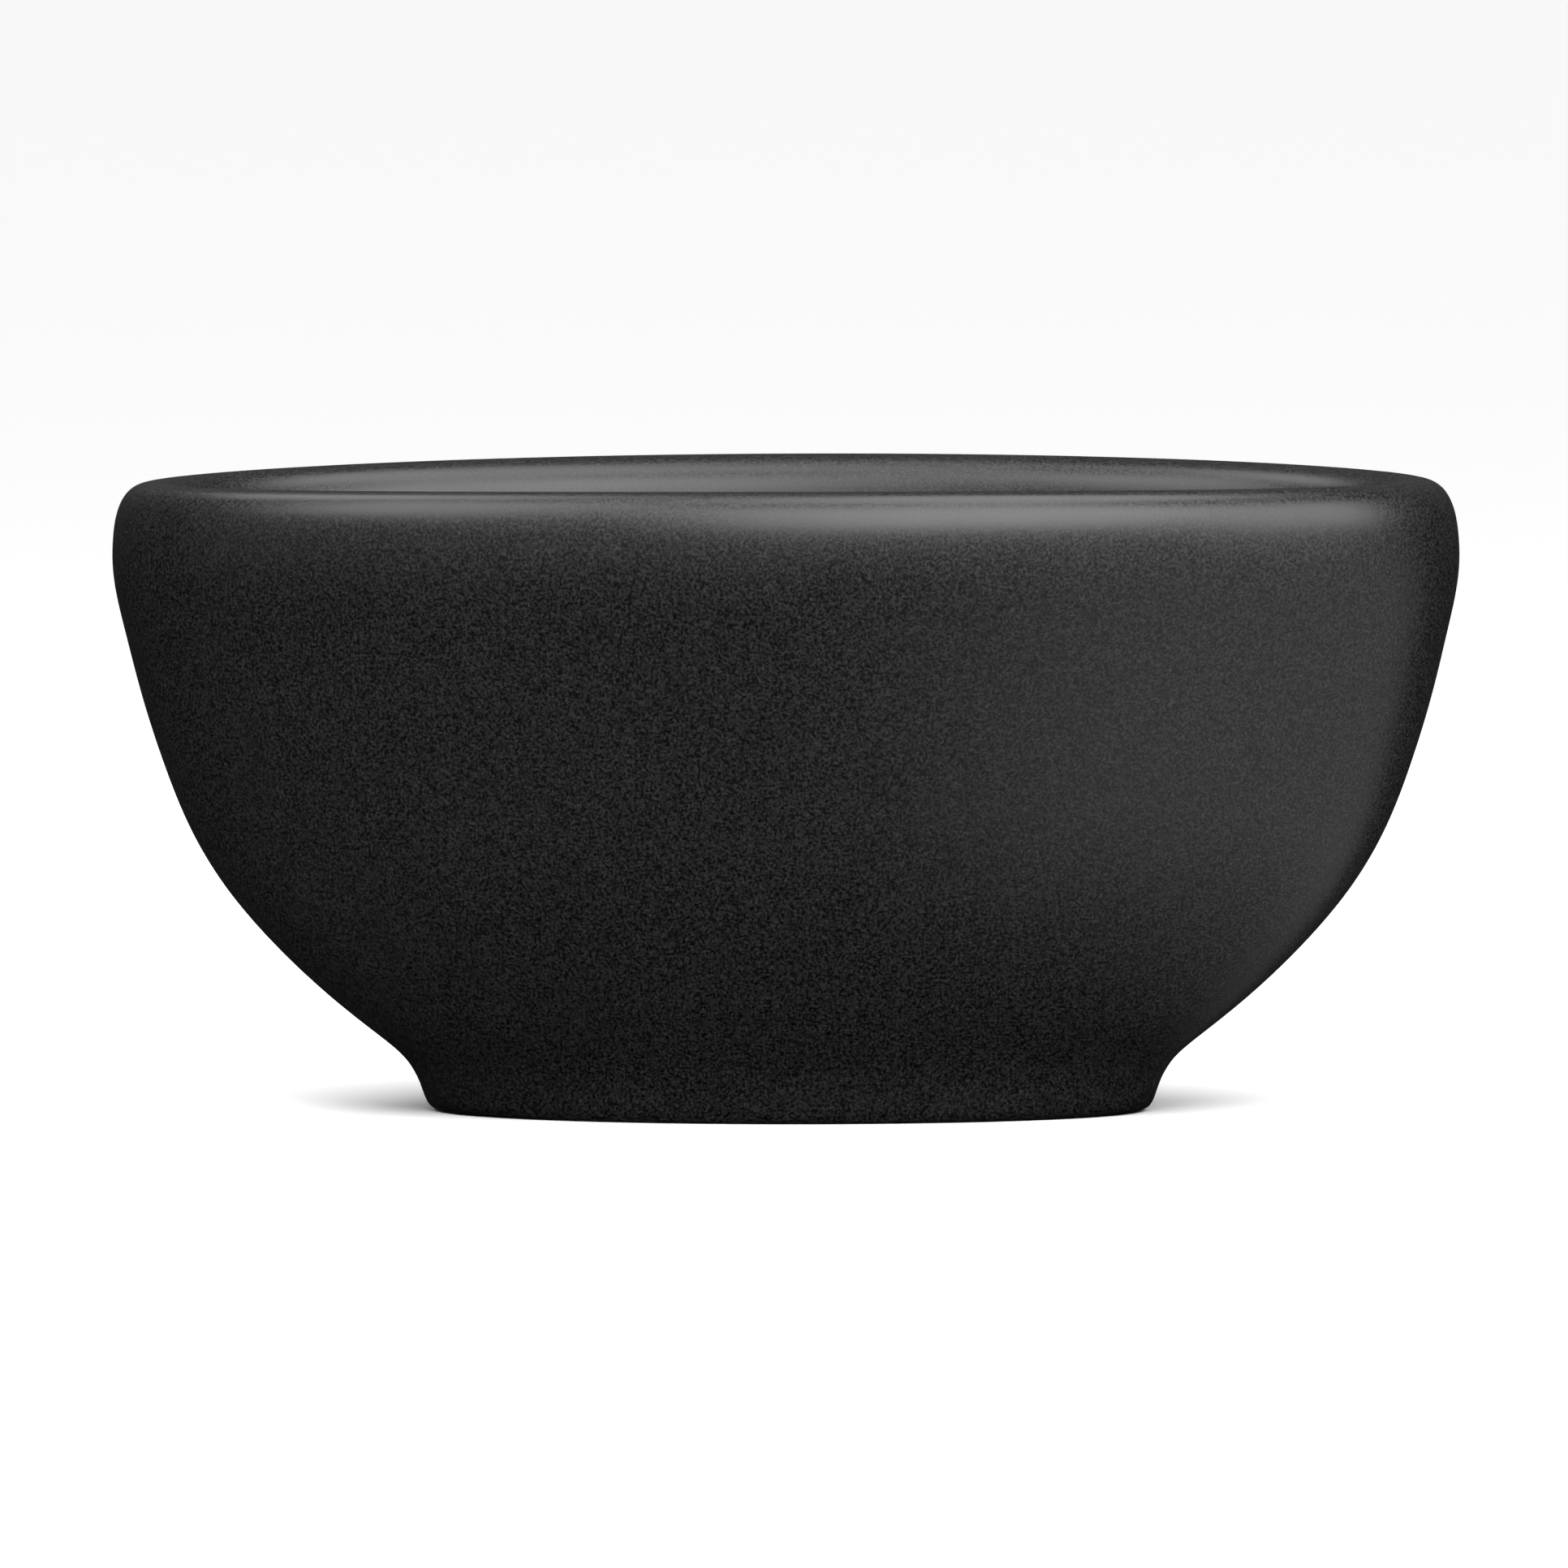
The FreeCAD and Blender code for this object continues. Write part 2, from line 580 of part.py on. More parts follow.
def waste_tee():
    """Tee under the waste: overflow in at the side, outlet straight down."""
    body = turned([(NECK_R + 0.4, TEE_COLLAR_TOP), (NECK_R + 4.5, TEE_COLLAR_TOP),
                   (NECK_R + 4.5, TEE_COLLAR_BOTTOM), (TEE_R, TEE_COLLAR_BOTTOM - 5),
                   (TEE_R, TEE_BOTTOM), (TEE_BORE_R - RUN, TEE_BOTTOM),
                   (TEE_BORE_R - RUN, TEE_COLLAR_BOTTOM + 1.5), (NECK_R + 0.4,
                                                                 TEE_COLLAR_BOTTOM + 1.5)])
    branch = Part.makeCylinder(BRANCH_R, BRANCH_END, V(0, 0, BRANCH_Z), V(0, 1, 0))
    bore = Part.makeCylinder(BRANCH_R - 2, BRANCH_END + 2, V(0, 0, BRANCH_Z), V(0, 1, 0))
    inside = rod(TEE_BORE_R - RUN, TEE_BOTTOM - 1, TEE_COLLAR_BOTTOM)
    return body.fuse(branch.cut(inside)).cut(bore).removeSplitter()


def tee_slip_nut():
    """Slip nut over the tee's collar, which holds it on the waste's neck."""
    nut = lobed(34.0, 1.3, 14, TEE_COLLAR_TOP - 12, TEE_COLLAR_TOP + 4.5)
    nut = nut.cut(rod(NECK_R + 4.5 + RUN, TEE_COLLAR_TOP - 13, TEE_COLLAR_TOP + 2.2))
    return nut.cut(rod(NECK_R + RUN, TEE_COLLAR_TOP, TEE_COLLAR_TOP + 6))


def outlet_tailpiece():
    """Pipe that leaves the tee downwards, its free end ready for the floor drain."""
    free_end = rod(TAIL_R, TAIL_BOTTOM, TAIL_SHOULDER)
    held_end = rod(TAIL_R - 0.4, TAIL_SHOULDER, TAIL_TOP)
    return free_end.fuse(held_end).cut(rod(TAIL_BORE_R, TAIL_BOTTOM - 1, TAIL_TOP + 1))


def outlet_slip_nut():
    """Slip nut that holds the tailpiece in the tee."""
    nut = lobed(30.0, 1.2, 12, TEE_BOTTOM - 3.0, TEE_BOTTOM + 7.5)
    nut = nut.cut(rod(TEE_R + RUN, TEE_BOTTOM, TEE_BOTTOM + 12))
    return nut.cut(rod(TAIL_R - 0.4 + RUN, TEE_BOTTOM - 4, TEE_BOTTOM + 1))


# ---------------------------------------------------------------- overflow
SEAL_T = 1.5
SEAL_GAP = 0.6           # the wall curves towards the seal's two sides by half of this
FACE_T = 3.0
WALL_DEPTH = SKIN + GLUE + LAMINATE + 0.6
COVER_R = 35.0
ELBOW_DEPTH = 30.0


def overflow_front_seal():
    """Seal between the basin's inner face and the face ring."""
    return on_wall(tube(31.0, OVERFLOW_HOLE_R + 0.5, -SEAL_T - SEAL_GAP, -SEAL_GAP))


def overflow_face():
    """Face ring inside the basin, with a bar across it for the two screws."""
    z_low = -SEAL_T - SEAL_GAP - FACE_T
    ring = tube(32.0, 20.0, z_low, -SEAL_T - SEAL_GAP)
    bar = box(-21.0, 21.0, -5.0, 5.0, z_low, -SEAL_T - SEAL_GAP)
    body = ring.fuse(bar)
    for x in (-12.0, 12.0):
        body = body.cut(rod(2.6, z_low - 1, 1, x, 0))
    return on_wall(body.removeSplitter())


def overflow_cover():
    """Cap over the face ring, open along its lower edge for the water."""
    z_rim = -SEAL_T - SEAL_GAP - FACE_T + 1.5
    z_top = z_rim - 12.0
    body = rod(COVER_R, z_top, z_rim)
    body = body.makeFillet(3.0, [e for e in body.Edges if e.BoundBox.ZMax < z_top + 0.1])
    body = body.cut(rod(32.0 + RUN, z_top + 2.5, z_rim + 1))
    window = box(-22.0, 22.0, -COVER_R - 1, -24.0, z_top + 4.5, z_rim - 1.2)
    return on_wall(body.cut(window).removeSplitter())


def overflow_rear_seal():
    """Seal between the laminate and the elbow's flange."""
    return on_wall(tube(30.0, OVERFLOW_HOLE_R + 1.5, WALL_DEPTH, WALL_DEPTH + 2.5))


def overflow_screws():
    """Two screws from the face ring into the elbow."""
    z_face = -SEAL_T - SEAL_GAP - FACE_T
    screws = []
    for x in (-12.0, 12.0):
        head = rod(4.4, z_face - 2.6, z_face, x, 0)
        shank = rod(2.4, z_face, WALL_DEPTH + 12.0, x, 0)
        screws.append(head.fuse(shank).removeSplitter())
    return on_wall(Part.Compound(screws))


def elbow_exit():
    """Centre of the elbow's chamber, and of its spigot's lower end, in the bath's frame."""
    chamber = OVERFLOW_AT + OVERFLOW_OUT * (WALL_DEPTH + 2.5 + 17.5)
    return chamber, V(0, chamber.y, chamber.z - 52.0)


def overflow_elbow():
    """Rear body of the overflow: flange, round chamber and a spigot that points down."""
    back = WALL_DEPTH + 2.5
    flange = rod(30.0, back, back + 3.0)
    chamber = rod(24.0, back, back + ELBOW_DEPTH)
    hollow = rod(OVERFLOW_HOLE_R - 0.5, back - 1, back + ELBOW_DEPTH - 2.5)
    centre, end = elbow_exit()
    spigot = Part.makeCylinder(PIPE_BORE_R - RUN, centre.z - end.z, end)
    bore = Part.makeCylinder(PIPE_BORE_R - 2.2, centre.z - end.z + 1, end - V(0, 0, 1))
    posts = [rod(5.0, back, back + ELBOW_DEPTH - 1, x, 0) for x in (-12.0, 12.0)]
    body = on_wall(flange.fuse(chamber)).fuse(spigot).cut(on_wall(hollow)).cut(bore)
    for post, x in zip(posts, (-12.0, 12.0)):
        body = body.fuse(on_wall(post.cut(rod(2.4 + RUN, back - 1, back + 13, x, 0))))
    return body.removeSplitter()


def pipe_route():
    """Corners of the overflow pipe, all in the plane across the middle of the bath."""
    start = elbow_exit()[1].y
    top = elbow_exit()[1].z + 24.0
    return [(start, top), (start, 500.0), (start - 7.0, 455.0), (302.0, 400.0), (279.0, 330.0),
            (259.0, 275.0), (231.0, 212.0), (196.0, 150.0), (158.0, 96.0), (112.0, BRANCH_Z),
            (BRANCH_END - 22.0, BRANCH_Z)]


def rounded_path(corners):
    """Straight runs joined by tangent arcs, in the plane x = 0, as one wire."""
    points = [V(0, y, z) for y, z in corners]
    edges, here = [], points[0]
    for k in range(1, len(points) - 1):
        back, ahead = points[k - 1] - points[k], points[k + 1] - points[k]
        turn = math.pi - back.getAngle(ahead)
        reach = 0.45 * min(back.Length, ahead.Length)
        radius = reach / math.tan(turn / 2)
        enter = points[k] + back * (reach / back.Length)
        leave = points[k] + ahead * (reach / ahead.Length)
        inward = (back * (1 / back.Length) + ahead * (1 / ahead.Length))
        inward.normalize()
        middle = points[k] + inward * (radius / math.cos(turn / 2) - radius)
        edges.append(Part.LineSegment(here, enter).toShape())
        edges.append(Part.Arc(enter, middle, leave).toShape())
        here = leave
    edges.append(Part.LineSegment(here, points[-1]).toShape())
    return Part.Wire(edges)


def swept(path, radius):
    """Round bar along a wire."""
    start = path.OrderedVertexes[0].Point
    way = path.OrderedEdges[0].tangentAt(path.OrderedEdges[0].FirstParameter)
    section = Part.Wire(Part.makeCircle(radius, start, way))
    return path.makePipeShell([section], True, False)


def overflow_pipe():
    """Pipe from the overflow elbow's spigot to the tee's branch."""
    path = rounded_path(pipe_route())
    return swept(path, PIPE_R).cut(swept(path, PIPE_BORE_R))


def pipe_clips():
    """Band clips round the two ends of the overflow pipe."""
    _, end = elbow_exit()
    top = tube(PIPE_R + 1.4, PIPE_R + RUN, end.z + 8, end.z + 17, end.x, end.y)
    ear = box(end.x - 4, end.x + 4, end.y - PIPE_R - 6, end.y - PIPE_R - 0.5, end.z + 8, end.z + 17)
    low = tube(PIPE_R + 1.4, PIPE_R + RUN, 0, 9)
    low_ear = box(-4, 4, PIPE_R + 0.5, PIPE_R + 6, 0, 9)
    low = low.fuse(low_ear).removeSplitter()
    low.Placement = FreeCAD.Placement(V(0, BRANCH_END - 14, BRANCH_Z),
                                      FreeCAD.Rotation(V(1, 0, 0), -90))
    return Part.Compound([top.fuse(ear).removeSplitter(), low])


# ---------------------------------------------------------------- write every piece
def all_pieces():
    """Every sub-part by the name of its node."""
    pieces = {
        "inner_basin": inner_basin(),
        "outer_skirt": outer_skirt(),
        "basin_laminate": basin_laminate(),
        "skirt_laminate": skirt_laminate(),
        "seam_tape": seam_tape(),
        "base_board": base_board(),
        "board_bedding": board_bedding(),
        "frame_rail_front": rail(-1),
        "frame_rail_back": rail(1),
        "frame_crossbar_left": crossbar(-1),
        "frame_crossbar_right": crossbar(1),
        "frame_tube_caps": tube_caps(),
        "board_screws": board_screws(),
        "foot_weld_nuts": nuts(19.0, CROSS_TOP, CROSS_TOP + 9.0),
        "foot_lock_nuts": nuts(19.0, CROSS_BOTTOM - 8.0, CROSS_BOTTOM),
        "waste_flange": waste_flange(),
        "waste_top_seal": washer(FLANGE_R - 1.5, DRAIN_HOLE_R + 0.5, DRAIN_SEAT_Z, FLANGE_UNDER),
        "waste_lower_seal": washer(38.0, DRAIN_HOLE_R + 0.5, BACK_NUT_TOP, LAMINATE_Z),
        "waste_back_nut": waste_back_nut(),
        "plug_guide": plug_guide(),
        "plug_cap": plug_cap(),
        "plug_seal": plug_seal(),
        "plug_stem": plug_stem(),
        "plug_spring": plug_spring(),
        "waste_tee": waste_tee(),
        "tee_slip_nut": tee_slip_nut(),
        "outlet_tailpiece": outlet_tailpiece(),
        "outlet_slip_nut": outlet_slip_nut(),
        "overflow_front_seal": overflow_front_seal(),
        "overflow_face": overflow_face(),
        "overflow_cover": overflow_cover(),
        "overflow_rear_seal": overflow_rear_seal(),
        "overflow_screws": overflow_screws(),
        "overflow_elbow": overflow_elbow(),
        "overflow_pipe": overflow_pipe(),
        "pipe_clips": pipe_clips(),
    }
    for number, (x, y) in enumerate(FOOT_PLACES, start=1):
        pieces[f"foot_stud_{number}"] = foot_stud(x, y)
        pieces[f"foot_cup_{number}"] = foot_cup(x, y)
        pieces[f"foot_pad_{number}"] = foot_pad(x, y)
    return pieces


def main():
    """Builds, checks and writes each piece."""
    os.makedirs("parts", exist_ok=True)
    for name, shape in all_pieces().items():
        size = shape.BoundBox
        print(f"{name:24s} valid {shape.isValid()} solids {len(shape.Solids)} "
              f"volume {shape.Volume / 1000:.1f} cm3 "
              f"x {size.XMin:.1f} {size.XMax:.1f} y {size.YMin:.1f} {size.YMax:.1f} "
              f"z {size.ZMin:.1f} {size.ZMax:.1f}")
        shape.exportStep(os.path.join("parts", name + ".step"))


main()
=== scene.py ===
"""Dresses a freestanding oval bath: its two black skins, waste, overflow, frame and feet."""

import json
import logging
import math
from dataclasses import dataclass, field
from enum import Enum
from typing import Any

import bmesh
import bpy
import numpy as np
from mathutils import Matrix, Vector


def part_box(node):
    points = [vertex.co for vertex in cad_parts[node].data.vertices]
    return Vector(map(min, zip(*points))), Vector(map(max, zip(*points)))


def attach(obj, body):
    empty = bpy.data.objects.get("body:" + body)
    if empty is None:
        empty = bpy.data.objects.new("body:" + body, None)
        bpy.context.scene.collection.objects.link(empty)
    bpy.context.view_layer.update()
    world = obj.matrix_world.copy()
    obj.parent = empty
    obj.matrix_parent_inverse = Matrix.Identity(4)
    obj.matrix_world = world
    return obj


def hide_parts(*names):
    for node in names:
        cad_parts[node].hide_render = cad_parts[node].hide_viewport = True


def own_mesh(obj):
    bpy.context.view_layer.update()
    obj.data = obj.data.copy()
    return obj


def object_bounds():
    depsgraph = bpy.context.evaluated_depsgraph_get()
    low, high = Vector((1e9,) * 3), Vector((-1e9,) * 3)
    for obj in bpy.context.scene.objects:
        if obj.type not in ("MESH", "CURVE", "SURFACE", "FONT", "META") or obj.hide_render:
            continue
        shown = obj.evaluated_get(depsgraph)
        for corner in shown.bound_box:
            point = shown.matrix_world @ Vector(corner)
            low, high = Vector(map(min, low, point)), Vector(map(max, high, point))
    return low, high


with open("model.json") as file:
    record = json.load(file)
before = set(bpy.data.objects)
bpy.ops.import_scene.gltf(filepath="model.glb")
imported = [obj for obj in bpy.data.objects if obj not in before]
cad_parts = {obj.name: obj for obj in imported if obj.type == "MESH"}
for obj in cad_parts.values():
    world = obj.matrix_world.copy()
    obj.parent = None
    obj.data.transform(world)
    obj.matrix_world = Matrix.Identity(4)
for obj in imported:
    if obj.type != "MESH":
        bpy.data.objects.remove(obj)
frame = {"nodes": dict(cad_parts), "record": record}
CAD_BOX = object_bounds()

log = logging.getLogger("bath")
MM = 0.001
CREASE = math.radians(28.0)        # edges that turn further than this stay crisp
Point = tuple[float, float, float]


# ---------------------------------------------------------------- small tools
def colour(code: str) -> tuple[float, float, float, float]:
    """Turns an sRGB hex code into linear colour.

    Args:
        code: six hex digits after a hash sign.

    Returns:
        Red, green, blue and alpha.
    """
    parts = [int(code[k:k + 2], 16) / 255 for k in (1, 3, 5)]
    return tuple(c / 12.92 if c <= 0.04045 else ((c + 0.055) / 1.055) ** 2.4 for c in parts) + (1.0,)


def feed(tree: bpy.types.NodeTree, node: bpy.types.Node, inputs: dict[Any, Any]) -> None:
    """Sets or links some of a node's inputs.

    Args:
        tree: the tree that the node is in.
        node: the node.
        inputs: a value, a source socket or a source node, by the input's name or place.
    """
    for key, value in inputs.items():
        if isinstance(value, bpy.types.Node):
            value = value.outputs[0]
        if isinstance(value, bpy.types.NodeSocket):
            tree.links.new(value, node.inputs[key])
        else:
            node.inputs[key].default_value = value


def add_node(tree: bpy.types.NodeTree, kind: str, inputs: dict[Any, Any] | None = None,
             stops: tuple[tuple[float, str], ...] = (), **settings: Any) -> bpy.types.Node:
    """Adds one node with its settings and links.

    Args:
        tree: the tree that gets the node.
        kind: the node's type.
        inputs: a value, a source socket or a source node, by the input's name or place.
        stops: place and colour of each stop, for a ramp.
        **settings: its other properties.

    Returns:
        The new node.
    """
    node = tree.nodes.new(kind)
    for name, value in settings.items():
        setattr(node, name, value)
    for stop, (place, code) in zip(node.color_ramp.elements if stops else (), stops):
        stop.position, stop.color = place, colour(code)
    feed(tree, node, inputs or {})
    return node


def new_object(name: str, mesh: bpy.types.Mesh) -> bpy.types.Object:
    """Puts a mesh in the scene under a name and returns its object."""
    thing = bpy.data.objects.new(name, mesh)
    bpy.context.scene.collection.objects.link(thing)
    return thing


def bake(thing: bpy.types.Object) -> None:
    """Turns an object's modifiers into plain mesh and removes them."""
    graph = bpy.context.evaluated_depsgraph_get()
    mesh = bpy.data.meshes.new_from_object(thing.evaluated_get(graph))
    thing.modifiers.clear()
    thing.data = mesh


def close_up(thing: bpy.types.Object) -> None:
    """Merges an object's doubles, turns its faces outwards and keeps its true corners crisp."""
    body = bmesh.new()
    body.from_mesh(thing.data)
    bmesh.ops.remove_doubles(body, verts=body.verts, dist=1e-6)
    bmesh.ops.recalc_face_normals(body, faces=body.faces)
    for face in body.faces:
        face.smooth = True
    for edge in body.edges:
        edge.smooth = len(edge.link_faces) == 2 and edge.calc_face_angle(0.0) < CREASE
    body.to_mesh(thing.data)
    body.free()


# ---------------------------------------------------------------- finishes
@dataclass(frozen=True)
class Finish:
    """One material, named for what it is made of and how its surface was made."""

    name: str
    tint: str
    roughness: float = 0.5
    metallic: float = 0.0
    ior: float = 1.5

    def pattern(self, tree: bpy.types.NodeTree, place: bpy.types.NodeSocket,
                shader: bpy.types.Node) -> None:
        """Adds this finish's own pattern; a plain finish has none."""

    def make(self) -> bpy.types.Material:
        """Builds the material once and returns it."""
        known = bpy.data.materials.get(self.name)
        if known:
            return known
        material = bpy.data.materials.new(self.name)
        material.use_nodes = True
        tree = material.node_tree
        shader = next(n for n in tree.nodes if n.type == "BSDF_PRINCIPLED")
        feed(tree, shader, {"Base Color": colour(self.tint), "Roughness": self.roughness,
                            "Metallic": self.metallic, "IOR": self.ior})
        self.pattern(tree, add_node(tree, "ShaderNodeTexCoord").outputs["Object"], shader)
        return material


@dataclass(frozen=True)
class SatinAcrylic(Finish):
    """Cast acrylic, coloured through and rubbed to satin: near black, speckled, a wide soft highlight."""

    grain_mm: float = 1.4        # rubbing grain of about 0.3 mm, drawn as coarse as it can show
    cloud_mm: float = 90.0       # patches that hand rubbing leaves a little duller

    def pattern(self, tree: bpy.types.NodeTree, place: bpy.types.NodeSocket,
                shader: bpy.types.Node) -> None:
        """Fine speckle in colour, gloss and height, over faint patches in the gloss."""
        fine = add_node(tree, "ShaderNodeTexNoise",
                        {"Vector": place, "Scale": 0.5 / (self.grain_mm * MM), "Detail": 3.0})
        cloud = add_node(tree, "ShaderNodeTexNoise",
                         {"Vector": place, "Scale": 0.5 / (self.cloud_mm * MM), "Detail": 2.0})
        flecks = add_node(tree, "ShaderNodeTexVoronoi", {"Vector": place, "Scale": 1 / (self.grain_mm * MM)})
        hues = add_node(tree, "ShaderNodeVectorMath",
                        {0: flecks.outputs["Color"], 1: (0.7, 0.7, 0.7), 2: (0.65, 0.65, 0.65)},
                        operation="MULTIPLY_ADD")
        greys = add_node(tree, "ShaderNodeValToRGB", {"Fac": fine}, ((0.4, "#020202"), (0.76, "#252526")))
        tint = add_node(tree, "ShaderNodeVectorMath", {0: greys, 1: hues}, operation="MULTIPLY")
        mixed = add_node(tree, "ShaderNodeMath", {0: cloud, 1: 0.35, 2: fine}, operation="MULTIPLY_ADD")
        rough = add_node(tree, "ShaderNodeMapRange",
                         {"Value": mixed, "From Min": 0.45, "From Max": 0.9,
                          "To Min": self.roughness - 0.08, "To Max": self.roughness + 0.08})
        bump = add_node(tree, "ShaderNodeBump", {"Height": fine, "Distance": 0.06 * MM})
        feed(tree, shader, {"Base Color": tint, "Roughness": rough, "Normal": bump})


@dataclass(frozen=True)
class StrandLaminate(Finish):
    """Chopped glass strand in polyester resin: greenish straw, matte, with fibres lying every way."""

    strand_mm: float = 1.6       # bundles of fibre about 1 mm across, drawn as coarse as they can show
    cloud_mm: float = 60.0
    lies: tuple[float, ...] = (0.2, 1.25, 2.3)

    def pattern(self, tree: bpy.types.NodeTree, place: bpy.types.NodeSocket,
                shader: bpy.types.Node) -> None:
        """Long thin strands that lie three ways, over cloudy resin."""
        cloud = add_node(tree, "ShaderNodeTexNoise", {"Vector": place, "Scale": 0.5 / (self.cloud_mm * MM)})
        mat = None
        for turn in self.lies:
            along = add_node(tree, "ShaderNodeMapping",
                             {"Vector": place, "Rotation": (turn / 3, turn / 2, turn),
                              "Scale": (0.05, 1.0, 1.0)})
            strand = add_node(tree, "ShaderNodeTexNoise",
                              {"Vector": along, "Scale": 0.5 / (self.strand_mm * MM), "Detail": 1.0})
            mat = add_node(tree, "ShaderNodeMath", {0: strand, 1: mat or 0.0}, operation="MAXIMUM")
        lit = add_node(tree, "ShaderNodeMapRange", {"Value": mat, "From Min": 0.45, "From Max": 0.75})
        mixed = add_node(tree, "ShaderNodeMath", {0: cloud, 1: 0.6, 2: lit}, operation="MULTIPLY_ADD")
        tint = add_node(tree, "ShaderNodeValToRGB", {"Fac": mixed}, ((0.2, "#868158"), (0.95, "#cbc6a2")))
        bump = add_node(tree, "ShaderNodeBump", {"Height": lit, "Distance": 0.3 * MM, "Strength": 0.7})
        feed(tree, shader, {"Base Color": tint, "Normal": bump})


@dataclass(frozen=True)
class BirchPlywood(Finish):
    """Sealed birch plywood: pale, with long grain and darker glue lines on its edge."""

    ply_mm: float = 1.5
    fibre_mm: float = 2.5

    def pattern(self, tree: bpy.types.NodeTree, place: bpy.types.NodeSocket,
                shader: bpy.types.Node) -> None:
        """Long grain on the faces and plies through the thickness."""
        along = add_node(tree, "ShaderNodeMapping", {"Vector": place, "Scale": (0.06, 1.0, 0.3)})
        fibres = add_node(tree, "ShaderNodeTexNoise",
                          {"Vector": along, "Scale": 0.5 / (self.fibre_mm * MM), "Detail": 4.0})
        plies = add_node(tree, "ShaderNodeTexWave",
                         {"Vector": place, "Scale": 0.5 / (self.ply_mm * MM) / 3.14}, bands_direction="Z")
        mixed = add_node(tree, "ShaderNodeMath", {0: fibres, 1: plies.outputs["Fac"]}, operation="MULTIPLY")
        tint = add_node(tree, "ShaderNodeValToRGB", {"Fac": mixed}, ((0.05, "#8d6c45"), (0.6, "#cdb086")))
        bump = add_node(tree, "ShaderNodeBump", {"Height": fibres, "Distance": 0.08 * MM})
        feed(tree, shader, {"Base Color": tint, "Normal": bump})


@dataclass(frozen=True)
class Textured(Finish):
    """A finish with one even grain in its gloss and height, and a second shade in patches."""

    shade: str = "#808080"
    grain_mm: float = 1.0
    depth_mm: float = 0.02

    def pattern(self, tree: bpy.types.NodeTree, place: bpy.types.NodeSocket,
                shader: bpy.types.Node) -> None:
        """Grain in gloss and height, patches in colour."""
        fine = add_node(tree, "ShaderNodeTexNoise", {"Vector": place, "Scale": 0.5 / (self.grain_mm * MM)})
        broad = add_node(tree, "ShaderNodeTexNoise", {"Vector": place, "Scale": 0.04 / (self.grain_mm * MM)})
        rough = add_node(tree, "ShaderNodeMapRange",
                         {"Value": fine, "From Min": 0.3, "From Max": 0.7,
                          "To Min": self.roughness - 0.05, "To Max": self.roughness + 0.06})
        tint = add_node(tree, "ShaderNodeValToRGB", {"Fac": broad}, ((0.35, self.tint), (0.65, self.shade)))
        bump = add_node(tree, "ShaderNodeBump", {"Height": fine, "Distance": self.depth_mm * MM})
        feed(tree, shader, {"Base Color": tint, "Roughness": rough, "Normal": bump})


@dataclass(frozen=True)
class Turned(Finish):
    """Lathe-turned metal, with the tool's fine rings round the upright axis."""

    ring_mm: float = 0.6

    def pattern(self, tree: bpy.types.NodeTree, place: bpy.types.NodeSocket,
                shader: bpy.types.Node) -> None:
        """Rings up the height."""
        rings = add_node(tree, "ShaderNodeTexWave",
                         {"Vector": place, "Scale": 0.5 / (self.ring_mm * MM) / 3.14, "Distortion": 0.4},
                         bands_direction="Z").outputs["Fac"]
        rough = add_node(tree, "ShaderNodeMapRange", {"Value": rings, "To Min": self.roughness - 0.06,
                                                      "To Max": self.roughness + 0.08})
        bump = add_node(tree, "ShaderNodeBump", {"Height": rings, "Distance": 0.01 * MM})
        feed(tree, shader, {"Roughness": rough, "Normal": bump})


@dataclass(frozen=True)
class PaintedLightPaper(Finish):
    """Matt paper with painted light: it glows on one side from some way out from the middle, and darkens
    towards the middle as painted shade.
    """

    toward: float = 0.0          # turn of the glowing side (painted light) round the middle, in degrees from the front
    near_m: float = 0.45
    far_m: float = 1.0
    glow: float = 3.0            # strength of the painted light (emission) beyond far_m

    def pattern(self, tree: bpy.types.NodeTree, place: bpy.types.NodeSocket,
                shader: bpy.types.Node) -> None:
        """Painted light that fades away from the glowing side, over paper with painted shade that darkens
        towards the middle.
        """
        turn = math.radians(self.toward)
        way = add_node(tree, "ShaderNodeVectorMath", {0: place}, operation="NORMALIZE")
        side = add_node(tree, "ShaderNodeVectorMath", {0: way, 1: (math.sin(turn), -math.cos(turn), 0.0)},
                        operation="DOT_PRODUCT").outputs["Value"]
        lit = add_node(tree, "ShaderNodeMapRange", {"Value": side, "From Min": 0.5, "From Max": 0.9})
        reach = add_node(tree, "ShaderNodeVectorMath", {0: place}, operation="LENGTH").outputs["Value"]
        open_part = add_node(tree, "ShaderNodeMapRange", {"Value": reach, "From Min": self.near_m,
                                                          "From Max": self.far_m, "To Max": self.glow})
        strength = add_node(tree, "ShaderNodeMath", {0: lit, 1: open_part}, operation="MULTIPLY")
        # painted shade: the paper darkens towards the middle, where the bath shades the floor
        shade = add_node(tree, "ShaderNodeValToRGB", {"Fac": reach}, ((0.35, "#1c1c1c"), (0.8, self.tint)))
        # painted light: the paper glows on one side though it is no lamp, so the bath's gloss sees a lit
        # floor
        feed(tree, shader, {"Base Color": shade, "Emission Color": colour(self.tint),
                            "Emission Strength": strength})


